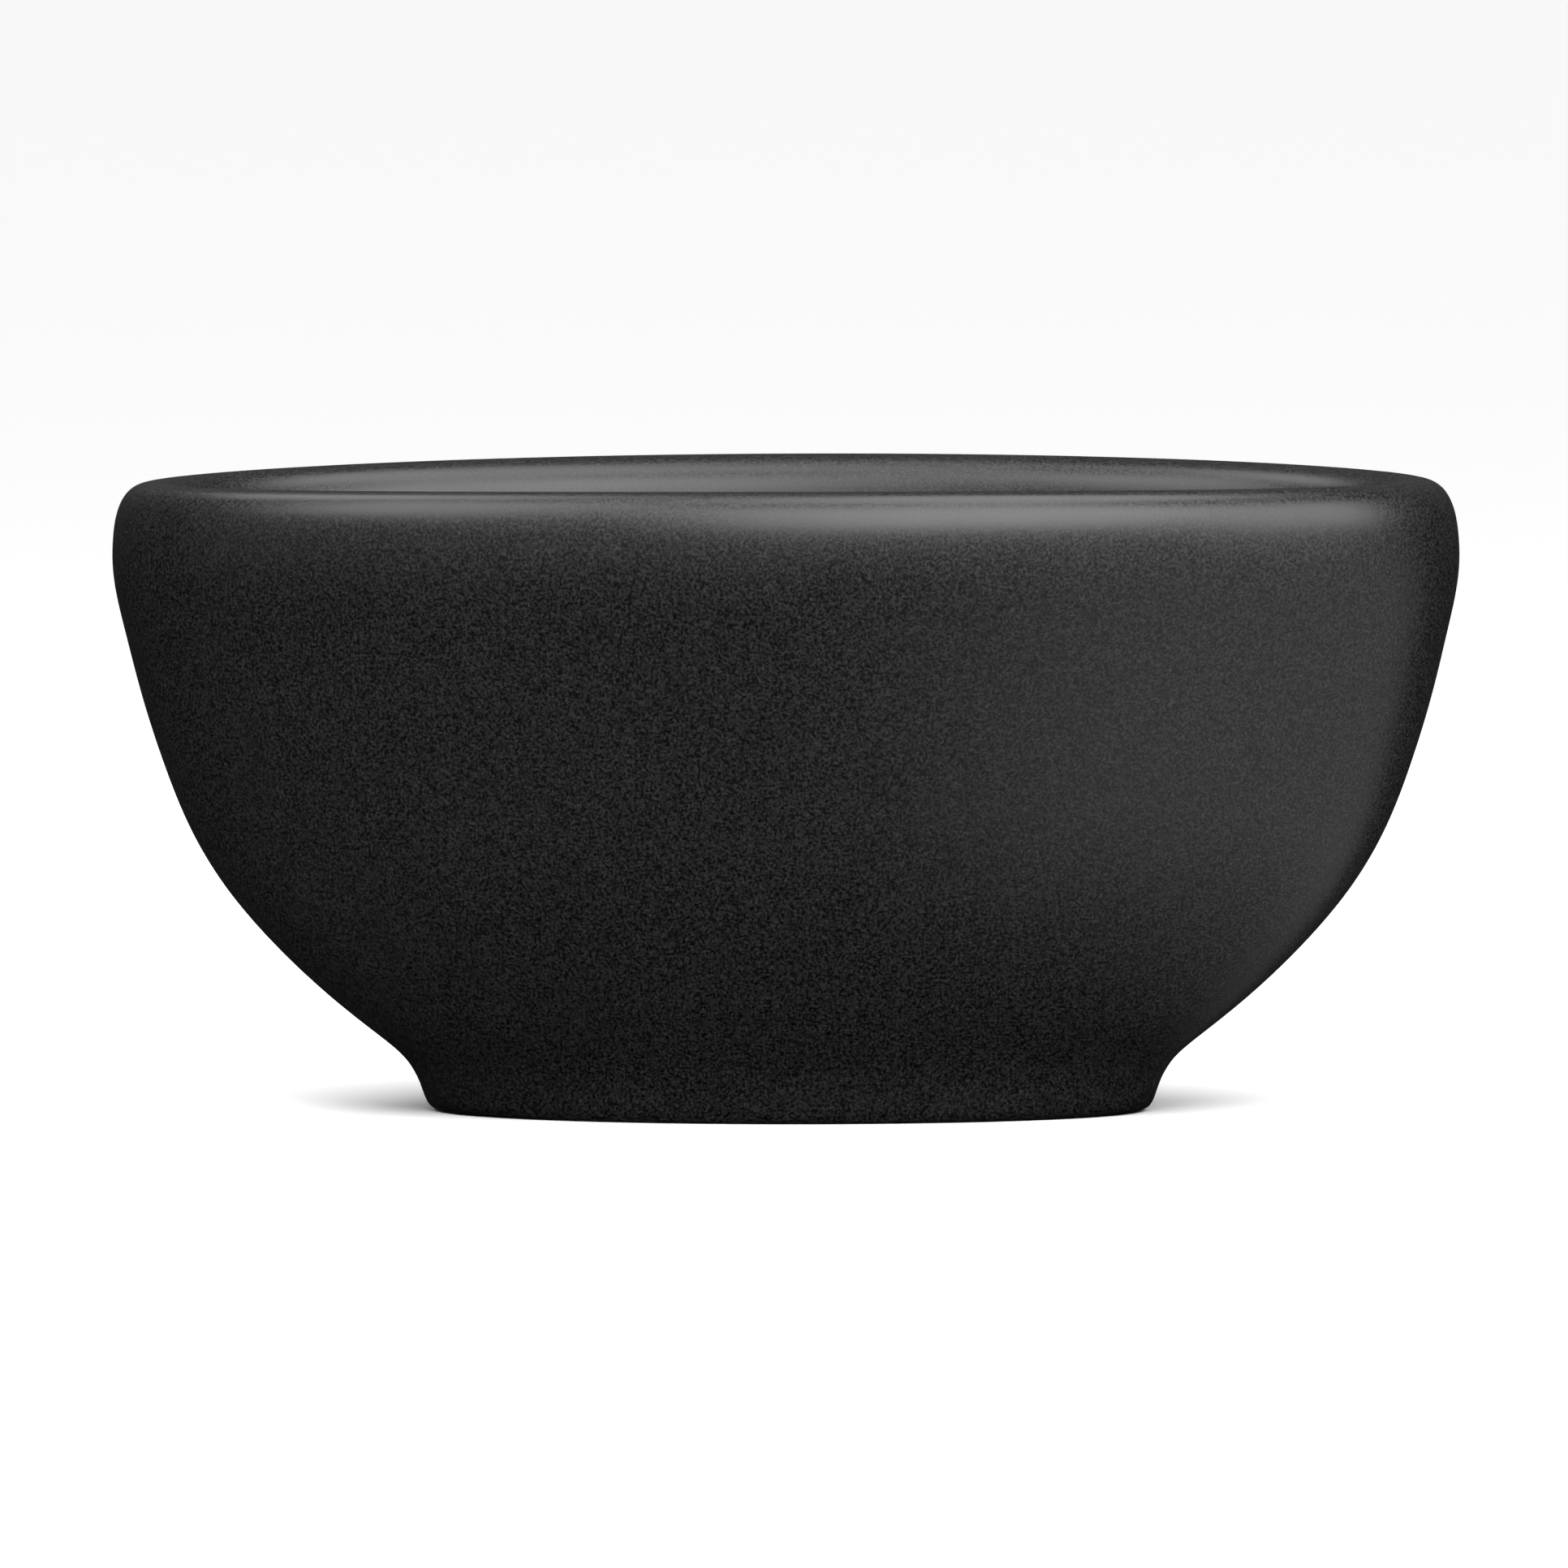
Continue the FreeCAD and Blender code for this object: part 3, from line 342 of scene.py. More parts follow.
class Stock(Enum):
    """The finishes this bath is made of, by the record's slot."""

    SHELL = SatinAcrylic("satin_black_acrylic", "#0e0e0f", 0.36, ior=1.49)
    LAMINATE = StrandLaminate("glass_strand_laminate", "#b8b28a", 0.55, ior=1.52)
    PLYWOOD = BirchPlywood("sealed_birch_plywood", "#c4a57b", 0.5)
    # Filled polyester paste sets dull and slightly lumpy.
    PASTE = Textured("polyester_bonding_paste", "#bcb7a4", 0.7, shade="#a29c88", grain_mm=5.0, depth_mm=0.5)
    # Powder coat flows to an orange peel about 1.5 mm across before it sets.
    FRAME_STEEL = Textured("powder_coated_steel", "#2a2b2d", 0.42, shade="#222325", grain_mm=1.5,
                           depth_mm=0.03)
    # Injection-moulded polypropylene from a spark-eroded tool: dull black, fine even grain.
    BLACK_PLASTIC = Textured("moulded_black_polypropylene", "#161617", 0.48, shade="#1d1d1f", grain_mm=0.8)
    # The same resin in white, from a smoother tool: soft gloss, slightly creamy in patches.
    WHITE_PLASTIC = Textured("moulded_white_polypropylene", "#e4e3dd", 0.38, shade="#d6d4cc", grain_mm=1.2)
    # Zinc plate with a clear passivation: cool grey with cloudy gloss.
    ZINC_STEEL = Textured("zinc_plated_steel", "#b9bdbe", 0.34, 1.0, shade="#a4a9a6", grain_mm=2.0,
                          depth_mm=0.01)
    # Brass under a satin black electrophoretic coat, which hides the metal.
    WASTE_METAL = Textured("satin_black_coated_brass", "#111112", 0.3, shade="#161617", grain_mm=0.9,
                           depth_mm=0.008)
    # Compression-moulded EPDM: dull, with a faint grey bloom.
    SEAL_RUBBER = Textured("moulded_epdm_rubber", "#18181a", 0.78, shade="#232325", depth_mm=0.03)
    # Turned on a lathe: warm, with fine rings that catch the light.
    BRASS = Turned("turned_brass", "#b8975a", 0.28, 1.0)
    # Hard-drawn wire, bright from the die, with faint draw marks.
    SPRING_STEEL = Turned("bright_spring_steel", "#b4b7ba", 0.26, 1.0)
    # Matt studio paper, and the sheets that only the bath's gloss sees in its place, darker copies of it
    # with painted shade and painted light.
    FLOOR = Finish("pale_studio_paper", "#f4f4f4", 0.9)
    # painted light and painted shade: a darker copy of the floor paper that glows on one side, seen only in
    # the bath's gloss
    GLOSS_PAPER_FRONT = PaintedLightPaper("painted_light_studio_paper", "#808080", 0.9, toward=66.0)
    # painted shade: a darker copy of the floor paper, seen only in the bath's gloss behind the bath
    GLOSS_PAPER_BACK = Finish("painted_shade_studio_paper", "#3c3c3c", 0.9)

    def material(self) -> bpy.types.Material:
        """The finish's material."""
        return self.value.make()


# ---------------------------------------------------------------- geometry node trees
def open_tree(name: str, sizes: dict[str, str]) -> tuple[bpy.types.NodeTree, bpy.types.Node]:
    """Starts a geometry tree with a geometry input, named sizes and a finish.

    Args:
        name: the tree's name.
        sizes: socket type for each named input.

    Returns:
        The tree and its input node.
    """
    tree = bpy.data.node_groups.new(name, "GeometryNodeTree")
    tree.interface.new_socket("Geometry", in_out="INPUT", socket_type="NodeSocketGeometry")
    for label, kind in {**sizes, "Finish": "NodeSocketMaterial"}.items():
        tree.interface.new_socket(label, in_out="INPUT", socket_type=kind)
    tree.interface.new_socket("Geometry", in_out="OUTPUT", socket_type="NodeSocketGeometry")
    return tree, add_node(tree, "NodeGroupInput")


def close_tree(tree: bpy.types.NodeTree, made: bpy.types.NodeSocket, source: bpy.types.Node) -> None:
    """Ends a geometry tree in real geometry with its finish."""
    smooth = add_node(tree, "GeometryNodeSetShadeSmooth", {0: made})
    real = add_node(tree, "GeometryNodeRealizeInstances", {0: smooth})
    dressed = add_node(tree, "GeometryNodeSetMaterial",
                       {"Geometry": real, "Material": source.outputs["Finish"]})
    add_node(tree, "NodeGroupOutput", {0: dressed})


def oval_sweep_tree() -> bpy.types.NodeTree:
    """Tree that turns a string of (half-length, half-width, height) points into oval rings.

    Returns:
        The tree, made once.
    """
    known = bpy.data.node_groups.get("oval_sweep")
    if known:
        return known
    number, length = "NodeSocketInt", "NodeSocketFloat"
    tree, source = open_tree("oval_sweep", {"Rings": number, "Segments": number, "End dip": length,
                                            "Dip start": length, "Crest": length, "Half length": length})
    given = source.outputs
    across = add_node(tree, "ShaderNodeMath", {0: given["Segments"], 1: 1.0}, operation="ADD")
    grid = add_node(tree, "GeometryNodeMeshGrid", {"Vertices X": across, "Vertices Y": given["Rings"]})
    index = add_node(tree, "GeometryNodeInputIndex")
    row = add_node(tree, "ShaderNodeMath", {0: index, 1: given["Rings"]}, operation="MODULO")
    place = add_node(tree, "GeometryNodeInputPosition")
    string = add_node(tree, "GeometryNodeSampleIndex",
                      {"Geometry": given["Geometry"], "Value": place, "Index": row},
                      data_type="FLOAT_VECTOR", domain="POINT")
    ratio = add_node(tree, "ShaderNodeMath", {0: index, 1: given["Rings"]}, operation="DIVIDE")
    column = add_node(tree, "ShaderNodeMath", {0: ratio}, operation="FLOOR")
    step = add_node(tree, "ShaderNodeMath", {0: 2 * math.pi, 1: given["Segments"]}, operation="DIVIDE")
    angle = add_node(tree, "ShaderNodeMath", {0: column, 1: step}, operation="MULTIPLY")
    cosine = add_node(tree, "ShaderNodeMath", {0: angle}, operation="COSINE")
    sine = add_node(tree, "ShaderNodeMath", {0: angle}, operation="SINE")
    around = add_node(tree, "ShaderNodeCombineXYZ", {"X": cosine, "Y": sine, "Z": 1.0})
    level = add_node(tree, "ShaderNodeVectorMath", {0: string, 1: around}, operation="MULTIPLY")
    axes = add_node(tree, "ShaderNodeSeparateXYZ", {0: level}).outputs
    rise = add_node(tree, "ShaderNodeMapRange", {"Value": axes["Z"], "From Min": given["Dip start"],
                                                 "From Max": given["Crest"]})
    reach = add_node(tree, "ShaderNodeMath", {0: axes["X"], 1: given["Half length"]}, operation="DIVIDE")
    share = add_node(tree, "ShaderNodeMath", {0: rise, 1: reach}, operation="MULTIPLY")
    square = add_node(tree, "ShaderNodeMath", {0: share, 1: share}, operation="MULTIPLY")
    fall = add_node(tree, "ShaderNodeMath", {0: given["End dip"], 1: -1.0}, operation="MULTIPLY")
    drop = add_node(tree, "ShaderNodeMath", {0: square, 1: fall}, operation="MULTIPLY")
    down = add_node(tree, "ShaderNodeCombineXYZ", {"Z": drop})
    moved = add_node(tree, "GeometryNodeSetPosition", {"Geometry": grid, "Position": level, "Offset": down})
    joined = add_node(tree, "GeometryNodeMergeByDistance", {"Geometry": moved, "Distance": 1e-6})
    close_tree(tree, joined.outputs[0], source)
    return tree


def coil_tree() -> bpy.types.NodeTree:
    """Tree that winds a bar of any number of sides up a helix, as in a spring or a thread.

    Returns:
        The tree, made once.
    """
    known = bpy.data.node_groups.get("coil")
    if known:
        return known
    number, length = "NodeSocketInt", "NodeSocketFloat"
    tree, source = open_tree("coil", {"Radius": length, "Height": length, "Turns": length,
                                      "Bar radius": length, "Bar sides": number, "Steps": number})
    given = source.outputs
    helix = add_node(tree, "GeometryNodeCurveSpiral", {
        "Resolution": given["Steps"], "Rotations": given["Turns"], "Start Radius": given["Radius"],
        "End Radius": given["Radius"], "Height": given["Height"]})
    upright = add_node(tree, "GeometryNodeSetCurveNormal", {"Curve": helix}, mode="Z_UP")
    bar = add_node(tree, "GeometryNodeCurvePrimitiveCircle", {"Resolution": given["Bar sides"],
                                                              "Radius": given["Bar radius"]})
    wound = add_node(tree, "GeometryNodeCurveToMesh", {"Curve": upright, "Profile Curve": bar,
                                                       "Fill Caps": True})
    close_tree(tree, wound.outputs[0], source)
    return tree


def weld_tree() -> bpy.types.NodeTree:
    """Tree that lays a rippled weld bead along each edge of a mesh.

    Returns:
        The tree, made once.
    """
    known = bpy.data.node_groups.get("weld")
    if known:
        return known
    tree, source = open_tree("weld", {"Ripple": "NodeSocketFloat", "Bead radius": "NodeSocketFloat"})
    given = source.outputs
    line = add_node(tree, "GeometryNodeMeshToCurve", {"Mesh": given["Geometry"]})
    marks = add_node(tree, "GeometryNodeResampleCurve", {"Curve": line, "Length": given["Ripple"]},
                     mode="LENGTH")
    drop = add_node(tree, "GeometryNodeMeshUVSphere", {"Segments": 20, "Rings": 12,
                                                       "Radius": given["Bead radius"]})
    size = add_node(tree, "FunctionNodeRandomValue", {2: 0.86, 3: 1.0, "Seed": 7}, data_type="FLOAT")
    beads = add_node(tree, "GeometryNodeInstanceOnPoints", {"Points": marks, "Instance": drop,
                                                            "Scale": size.outputs[1]})
    close_tree(tree, beads.outputs[0], source)
    return tree


def grow(name: str, seed: bpy.types.Mesh, tree: bpy.types.NodeTree,
         sizes: dict[str, Any]) -> bpy.types.Object:
    """Runs a geometry tree on a mesh and keeps the result as plain mesh.

    Args:
        name: the new piece's name.
        seed: the mesh that the tree starts from.
        tree: the geometry tree.
        sizes: value of each named input.

    Returns:
        The piece.
    """
    start = bpy.data.objects.new(name + "_seed", seed)
    bpy.context.scene.collection.objects.link(start)
    step = start.modifiers.new("make", "NODES")
    step.node_group = tree
    for item in tree.interface.items_tree:
        if item.in_out == "INPUT" and item.name in sizes:
            step[item.identifier] = sizes[item.name]
    graph = bpy.context.evaluated_depsgraph_get()
    mesh = bpy.data.meshes.new_from_object(start.evaluated_get(graph))
    bpy.data.objects.remove(start)
    return new_object(name, mesh)


def ring_stack(name: str, rings: list[np.ndarray], finish: Stock, closed: bool) -> bpy.types.Object:
    """Joins rings of points, one above another, into one closed skin.

    Args:
        name: the new piece's name.
        rings: the points of each ring, in millimetres.
        finish: what it is made of.
        closed: whether the last ring joins the first, as round a bore.

    Returns:
        The piece.
    """
    count, steps = len(rings), len(rings[0])
    spots = [tuple(p) for p in np.concatenate(rings) * MM]
    faces = [(k * steps + i, k * steps + (i + 1) % steps,
              (k + 1) % count * steps + (i + 1) % steps, (k + 1) % count * steps + i)
             for k in range(count if closed else count - 1) for i in range(steps)]
    mesh = bpy.data.meshes.new(name)
    mesh.from_pydata(spots, [], faces)
    mesh.materials.append(finish.material())
    piece = new_object(name, mesh)
    close_up(piece)
    return piece


def around(centre: tuple[float, float], radius: np.ndarray | float, height: np.ndarray | float,
           steps: int) -> np.ndarray:
    """One level or wavy ring round an upright axis, in millimetres."""
    turns = np.arange(steps) * 2 * math.pi / steps
    return np.stack([centre[0] + radius * np.cos(turns), centre[1] + radius * np.sin(turns),
                     height + 0.0 * turns], axis=1)


def lathe(name: str, centre: tuple[float, float], profile: list[tuple[float, float]], finish: Stock,
          steps: int) -> bpy.types.Object:
    """Turns a (radius, height) profile, from axis to axis, about an upright axis.

    Args:
        name: the new piece's name.
        centre: where the axis stands.
        profile: radius and height of each corner, in millimetres.
        finish: what it is made of.
        steps: flats round the axis.

    Returns:
        The piece.
    """
    return ring_stack(name, [around(centre, r, z, steps) for r, z in profile], finish, False)


def fuse(pieces: list[bpy.types.Object], name: str) -> bpy.types.Object:
    """Makes one piece, with the first one's finish, of several."""
    body = bmesh.new()
    for piece in pieces:
        body.from_mesh(piece.data)
    mesh = bpy.data.meshes.new(name)
    body.to_mesh(mesh)
    body.free()
    mesh.materials.append(pieces[0].data.materials[0])
    for piece in pieces:
        bpy.data.objects.remove(piece)
    return new_object(name, mesh)


def stand_in(piece: bpy.types.Object, body: str, slot: str, *nodes: str) -> bpy.types.Object:
    """Lets a finished piece ride on a body and stand for its nodes."""
    if nodes:
        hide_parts(*nodes)
    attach(piece, body)
    return piece


def middle_mm(node: str) -> tuple[float, float]:
    """Where a node's upright axis stands, in millimetres."""
    low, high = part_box(node)
    return (low.x + high.x) / 2 / MM, (low.y + high.y) / 2 / MM


# ---------------------------------------------------------------- the two skins
@dataclass
class Outline:
    """Smooth line through (half-length, half-width, height) points, in millimetres."""

    points: list[Point]

    def __post_init__(self) -> None:
        """Works out the line's bend at each point."""
        self.spots = np.array(self.points, float)
        self.knots = np.r_[0.0, np.cumsum(np.linalg.norm(np.diff(self.spots, axis=0), axis=1))]
        gaps = np.diff(self.knots)
        count = len(self.spots)
        left, right = np.eye(count), np.zeros((count, 3))
        slopes = np.diff(self.spots, axis=0) / gaps[:, None]
        for k in range(1, count - 1):
            left[k, k - 1:k + 2] = gaps[k - 1] / 6, (gaps[k - 1] + gaps[k]) / 3, gaps[k] / 6
            right[k] = slopes[k] - slopes[k - 1]
        self.bends = np.linalg.solve(left, right)

    def at(self, where: np.ndarray) -> np.ndarray:
        """Points of the line at some distances along it."""
        k = np.clip(np.searchsorted(self.knots, where, "right") - 1, 0, len(self.knots) - 2)
        gap = (self.knots[k + 1] - self.knots[k])[:, None]
        ahead, back = self.knots[k + 1][:, None] - where[:, None], where[:, None] - self.knots[k][:, None]
        return (self.bends[k] * ahead ** 3 / (6 * gap) + self.bends[k + 1] * back ** 3 / (6 * gap)
                + (self.spots[k] / gap - self.bends[k] * gap / 6) * ahead
                + (self.spots[k + 1] / gap - self.bends[k + 1] * gap / 6) * back)

    def inside(self, where: np.ndarray, depth: float) -> np.ndarray:
        """Points at a depth behind the line.

        Args:
            where: distances along the line.
            depth: how far behind, in millimetres.

        Returns:
            The points.
        """
        way = self.at(where + 0.01) - self.at(where - 0.01)
        run, rise = (way[:, 0] + way[:, 1]) / 2, way[:, 2]
        size = np.hypot(run, rise)
        across, up = -rise / size, run / size
        return self.at(where) + depth * np.stack([across, across, up], axis=1)

    def steps(self, start: float, end: float, longest: float = 10.0) -> np.ndarray:
        """Distances along the line, closer together where its points are."""
        marks = [start] + [k for k in self.knots if start < k < end] + [end]
        runs = [np.linspace(a, b, max(3, math.ceil((b - a) / longest)), endpoint=False)
                for a, b in zip(marks, marks[1:])]
        return np.r_[np.concatenate(runs), end]

    def reach(self, height: float) -> float:
        """Distance along the line to where it first comes up to a height."""
        along = np.linspace(0, self.knots[-1], 40001)
        return float(along[np.argmax(self.at(along)[:, 2] >= height)])


@dataclass
class BathShell:
    """The two acrylic skins: a basin with a rolled rim, and a skirt down to the plinth."""

    length: float = 1500.0
    width: float = 750.0
    height: float = 707.0
    end_dip: float = 10.0
    dip_start: float = 200.0
    bulge: float = 614.0
    crest_inset: float = 48.0
    rim_power: float = 2.8
    side_share: float = 0.42
    side_roll: float = 90.0
    seam: float = 590.0
    seam_gap: float = 0.03
    skin: float = 5.0
    hole: float = 25.5
    overflow_hole: float = 22.0
    plinth_hole: Point = (365.0, 148.0, 0.0)
    plinth_flange: float = 5.0
    overflow_seal: float = 1.5
    segments: int = 288
    rim_steps: int = 7
    body_points: list[tuple[float, float]] = field(default_factory=lambda: [
        (390.0, 0.0), (401.5, 5.0), (407.0, 14.0), (412.0, 28.0), (419.0, 43.0), (429.5, 58.0),
        (445.0, 72.5), (466.0, 89.0), (500.0, 116.0), (542.0, 153.0), (586.0, 197.5), (630.0, 251.5),
        (667.0, 315.0), (695.0, 386.0), (719.5, 466.0), (737.0, 538.0)])
    basin_points: list[Point] = field(default_factory=lambda: [
        (690.0, 322.0, 705.6), (674.0, 307.0, 698.0), (660.0, 294.0, 680.0), (653.0, 287.0, 652.0),
        (645.0, 281.0, 600.0), (627.0, 271.0, 500.0), (602.0, 257.0, 400.0), (566.0, 236.0, 300.0),
        (530.0, 214.0, 238.0), (482.0, 187.0, 190.0), (420.0, 156.0, 163.0), (340.0, 126.0, 153.5),
        (220.0, 95.0, 151.4), (110.0, 70.0, 150.4), (66.0, 58.0, 150.0), (54.0, 50.0, 149.0),
        (44.0, 44.0, 147.0)])

    def side_axis(self, end: float) -> float:
        """Half-width that goes with a half-length on the outside."""
        inset = self.length / 2 - end
        roll = (1 - self.side_share) * self.side_roll * (1 - math.exp(-inset / self.side_roll))
        return self.width / 2 - self.side_share * inset - roll

    def outline(self) -> Outline:
        """The whole line, from the plinth over the rim to the waste."""
        points = [(end, self.side_axis(end), z) for end, z in self.body_points]
        for k in range(self.rim_steps + 1):
            angle = math.pi / 2 * k / self.rim_steps
            end = self.length / 2 - self.crest_inset * (1 - math.cos(angle) ** (2 / self.rim_power))
            z = self.bulge + (self.height - self.bulge) * math.sin(angle) ** (2 / self.rim_power)
            points.append((end, self.side_axis(end), z))
        return Outline(points + self.basin_points)

    def skin_mesh(self, name: str, loop: np.ndarray, segments: int) -> bpy.types.Object:
        """Sweeps a closed loop of points into an oval skin.

        Args:
            name: the piece's name.
            loop: (half-length, half-width, height) points, in millimetres.
            segments: steps round the oval.

        Returns:
            The piece.
        """
        ring = np.vstack([loop, loop[:1]]) * MM
        string = bpy.data.meshes.new(name + "_line")
        string.from_pydata([tuple(p) for p in ring], [], [])
        piece = grow(name, string, oval_sweep_tree(), {
            "Rings": len(ring), "Segments": segments, "End dip": self.end_dip * MM,
            "Dip start": self.dip_start * MM, "Crest": self.height * MM,
            "Half length": self.length / 2 * MM, "Finish": Stock.SHELL.material()})
        close_up(piece)
        return piece

    def build_skirt(self, line: Outline) -> bpy.types.Object:
        """Makes the outer skin, from the seam to the plinth's returned foot."""
        top = line.reach(self.seam)
        front = line.at(line.steps(0.0, top))
        rows = line.steps(0.0, top, 30.0)
        back = line.inside(rows, self.skin)
        back = back[back[:, 2] > self.plinth_flange + 12]
        back[-1] = front[-1] - (self.skin, self.skin, 0.0)
        end, side, low = self.plinth_hole
        heel = np.array([(end, side, low), (end, side, self.plinth_flange),
                         (380.0, 162.0, self.plinth_flange), (391.0, 170.0, self.plinth_flange + 2.0),
                         (397.5, 174.5, self.plinth_flange + 6.5)])
        return self.skin_mesh("skirt_skin", np.vstack([front, back[::-1], heel[::-1]]), self.segments)

    def build_basin(self, line: Outline) -> bpy.types.Object:
        """Makes the inner skin with its rolled rim, down to the waste hole."""
        start = line.reach(self.seam + self.seam_gap)
        front = line.at(line.steps(start, line.knots[-1]))
        back = line.inside(line.steps(start, line.knots[-1], 30.0), self.skin)
        back[0] = front[0] - (self.skin, self.skin, 0.0)
        back[-1] = front[-1] - (0.0, 0.0, self.skin)
        low = back[-1][2]
        hole = np.array([(self.hole, self.hole, front[-1][2]), (self.hole, self.hole, low)])
        piece = self.skin_mesh("basin_skin", np.vstack([front, hole, back[::-1]]), self.segments)
        self.drill_overflow(piece)
        return piece

    def drill_overflow(self, piece: bpy.types.Object) -> None:
        """Cuts the overflow hole through the basin's wall."""
        low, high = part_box("overflow_front_seal")
        centre = (low + high) / 2
        tilt = math.asin(min(1.0, (high.y - low.y - self.overflow_seal * MM) / (high.z - low.z)))
        cutter = bmesh.new()
        bmesh.ops.create_cone(cutter, cap_ends=True, segments=72, radius1=self.overflow_hole * MM,
                              radius2=self.overflow_hole * MM, depth=0.04)
        turn = Matrix.Rotation(math.pi / 2 - tilt, 4, "X")
        cutter.transform(Matrix.Translation(centre) @ turn)
        mesh = bpy.data.meshes.new("overflow_cut")
        cutter.to_mesh(mesh)
        cutter.free()
        tool = new_object("overflow_cut", mesh)
        step = piece.modifiers.new("hole", "BOOLEAN")
        step.operation, step.solver, step.object = "DIFFERENCE", "EXACT", tool
        bake(piece)
        bpy.data.objects.remove(tool)
        close_up(piece)

    def build(self) -> list[bpy.types.Object]:
        """Makes both skins and lets them stand for their nodes."""
        line = self.outline()
        basin, skirt = self.build_basin(line), self.build_skirt(line)
        return [stand_in(basin, "bath", "shell", "inner_basin"),
                stand_in(skirt, "bath", "shell", "outer_skirt")]


# ---------------------------------------------------------------- feet and frame
@dataclass(frozen=True)
class Hexagon:
    """A hexagonal nut or collar whose corners are turned off at thirty degrees."""

    across_flats: float
    low: float
    high: float
    bore: float

    def build(self, name: str, centre: tuple[float, float]) -> bpy.types.Object:
        """Makes the nut round an upright axis.

        Args:
            name: the piece's name.
            centre: where its axis stands, in millimetres.

        Returns:
            The piece.
        """
        steps, flat = 144, self.across_flats / 2
        turns = np.arange(steps) * 2 * math.pi / steps
        edge = flat / np.cos(turns % (math.pi / 3) - math.pi / 6)
        face = flat - 0.2
        fall = (edge - face) * math.tan(math.radians(30))
        profile = [(self.bore, self.low + 0.5), (self.bore + 0.5, self.low), (face, self.low),
                   (edge, self.low + fall), (edge, self.high - fall), (face, self.high),
                   (self.bore + 0.5, self.high), (self.bore, self.high - 0.5)]
        rings = [around(centre, radius, height, steps) for radius, height in profile]
        return ring_stack(name, rings, Stock.ZINC_STEEL, True)


@dataclass
class LevellingFeet:
    """Four M12 studs with their hexagons, and the weld nuts and lock nuts they turn in."""

    major: float = 5.98
    pitch: float = 1.75
    collar: Hexagon = Hexagon(17.0, 26.0, 34.0, 5.0)
    point: float = 1.5
    nut_flats: float = 19.0
    nut_bore: float = 6.05

    def stud(self, n: int) -> bpy.types.Object:
        """Makes one stud, with its rolled thread and its adjusting hexagon."""
        node = f"foot_stud_{n}"
        low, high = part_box(node)
        bottom, top, centre = low.z / MM, high.z / MM, middle_mm(node)
        root = self.major - 0.61 * self.pitch
        core = lathe(f"stud_{n}", centre, [
            (0, bottom), (self.major - 0.5, bottom), (self.major, bottom + 0.5),
            (self.major, self.collar.low + 1), (root, self.collar.high - 1), (root, top - 0.6),
            (root - 0.6, top), (0, top)], Stock.ZINC_STEEL, steps=48)
        start = self.collar.high + self.pitch / 2
        length = top - self.point - start - self.pitch / 2
        thread = grow("thread", bpy.data.meshes.new("thread_seed"), coil_tree(), {
            "Radius": root * MM, "Height": length * MM, "Turns": length / self.pitch,
            "Bar radius": (self.major - root) * MM, "Bar sides": 4, "Steps": 36,
            "Finish": Stock.ZINC_STEEL.material()})
        thread.data.transform(Matrix.Translation(Vector((*centre, start)) * MM))
        collar = self.collar.build("collar", centre)
        close_up(thread)
        return stand_in(fuse([core, thread, collar], f"threaded_stud_{n}"), f"levelling_foot_{n}",
                        "zinc_steel", node)

    def nuts(self, node: str) -> bpy.types.Object:
        """Makes the four nuts of one node as one piece."""
        low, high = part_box(node)
        shape = Hexagon(self.nut_flats, low.z / MM, high.z / MM, self.nut_bore)
        made = [shape.build("nut", middle_mm(f"foot_stud_{n}")) for n in range(1, 5)]
        return stand_in(fuse(made, node.replace("foot", "chamfered")), "bath", "zinc_steel", node)

    def build(self) -> list[bpy.types.Object]:
        """Makes the studs and nuts."""
        studs = [self.stud(n) for n in range(1, 5)]
        return studs + [self.nuts(node) for node in ("foot_weld_nuts", "foot_lock_nuts")]


@dataclass
class FrameWelds:
    """Fillet welds where the two rails stand on the two crossbars."""

    bead: float = 2.2
    ripple: float = 1.3
    proud: float = 0.4

    def build(self) -> list[bpy.types.Object]:
        """Lays a bead along both sides of each crossing."""
        ends = []
        for bar in ("frame_crossbar_left", "frame_crossbar_right"):
            for rail in ("frame_rail_front", "frame_rail_back"):
                (low, high), (near, far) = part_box(bar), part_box(rail)
                for x in (low.x - self.proud * MM, high.x + self.proud * MM):
                    ends += [(x, near.y + self.bead * MM, near.z - self.proud * MM),
                             (x, far.y - self.bead * MM, near.z - self.proud * MM)]
        seams = bpy.data.meshes.new("weld_lines")
        seams.from_pydata(ends, [(k, k + 1) for k in range(0, len(ends), 2)], [])
        piece = grow("frame_weld_beads", seams, weld_tree(), {
            "Ripple": self.ripple * MM, "Bead radius": self.bead * MM,
            "Finish": Stock.FRAME_STEEL.material()})
        return [stand_in(piece, "bath", "frame_steel")]


# ---------------------------------------------------------------- waste
@dataclass
class PlugSpring:
    """The plug's return spring, which shortens as the plug is pressed."""

    wire: float = 0.7
    coils: float = 6.0
    travel: float = 9.0

    def build(self) -> list[bpy.types.Object]:
        """Winds the spring between the guide and the cap."""
        low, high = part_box("plug_spring")
        radius = (high.x - low.x) / 2 - self.wire * MM
        height = high.z - low.z - 2 * self.wire * MM
        piece = grow("wound_spring", bpy.data.meshes.new("spring_seed"), coil_tree(), {
            "Radius": radius, "Height": height, "Turns": self.coils, "Bar radius": self.wire * MM,
            "Bar sides": 16, "Steps": 48, "Finish": Stock.SPRING_STEEL.material()})
        foot = low.z + self.wire * MM
        piece.data.transform(Matrix.Translation((0.0, 0.0, foot)))
        close_up(piece)
        stand_in(piece, "bath", "spring_steel", "plug_spring")
        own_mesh(piece)
        return [piece]


# ---------------------------------------------------------------- carried-over pieces
@dataclass
class CarriedPieces:
    """The remaining nodes, which keep their shape and get their finish by slot."""

    def dress(self) -> int:
        """Gives every node its slot's finish and returns how many there are."""
        slots = {part["node"]: part["material_slot"] for part in frame["record"]["subparts"]}
        for name, node in frame["nodes"].items():
            material = Stock[slots[name].upper()].material()
            node.data.materials.clear()
            node.data.materials.append(material)
        return len(frame["nodes"])


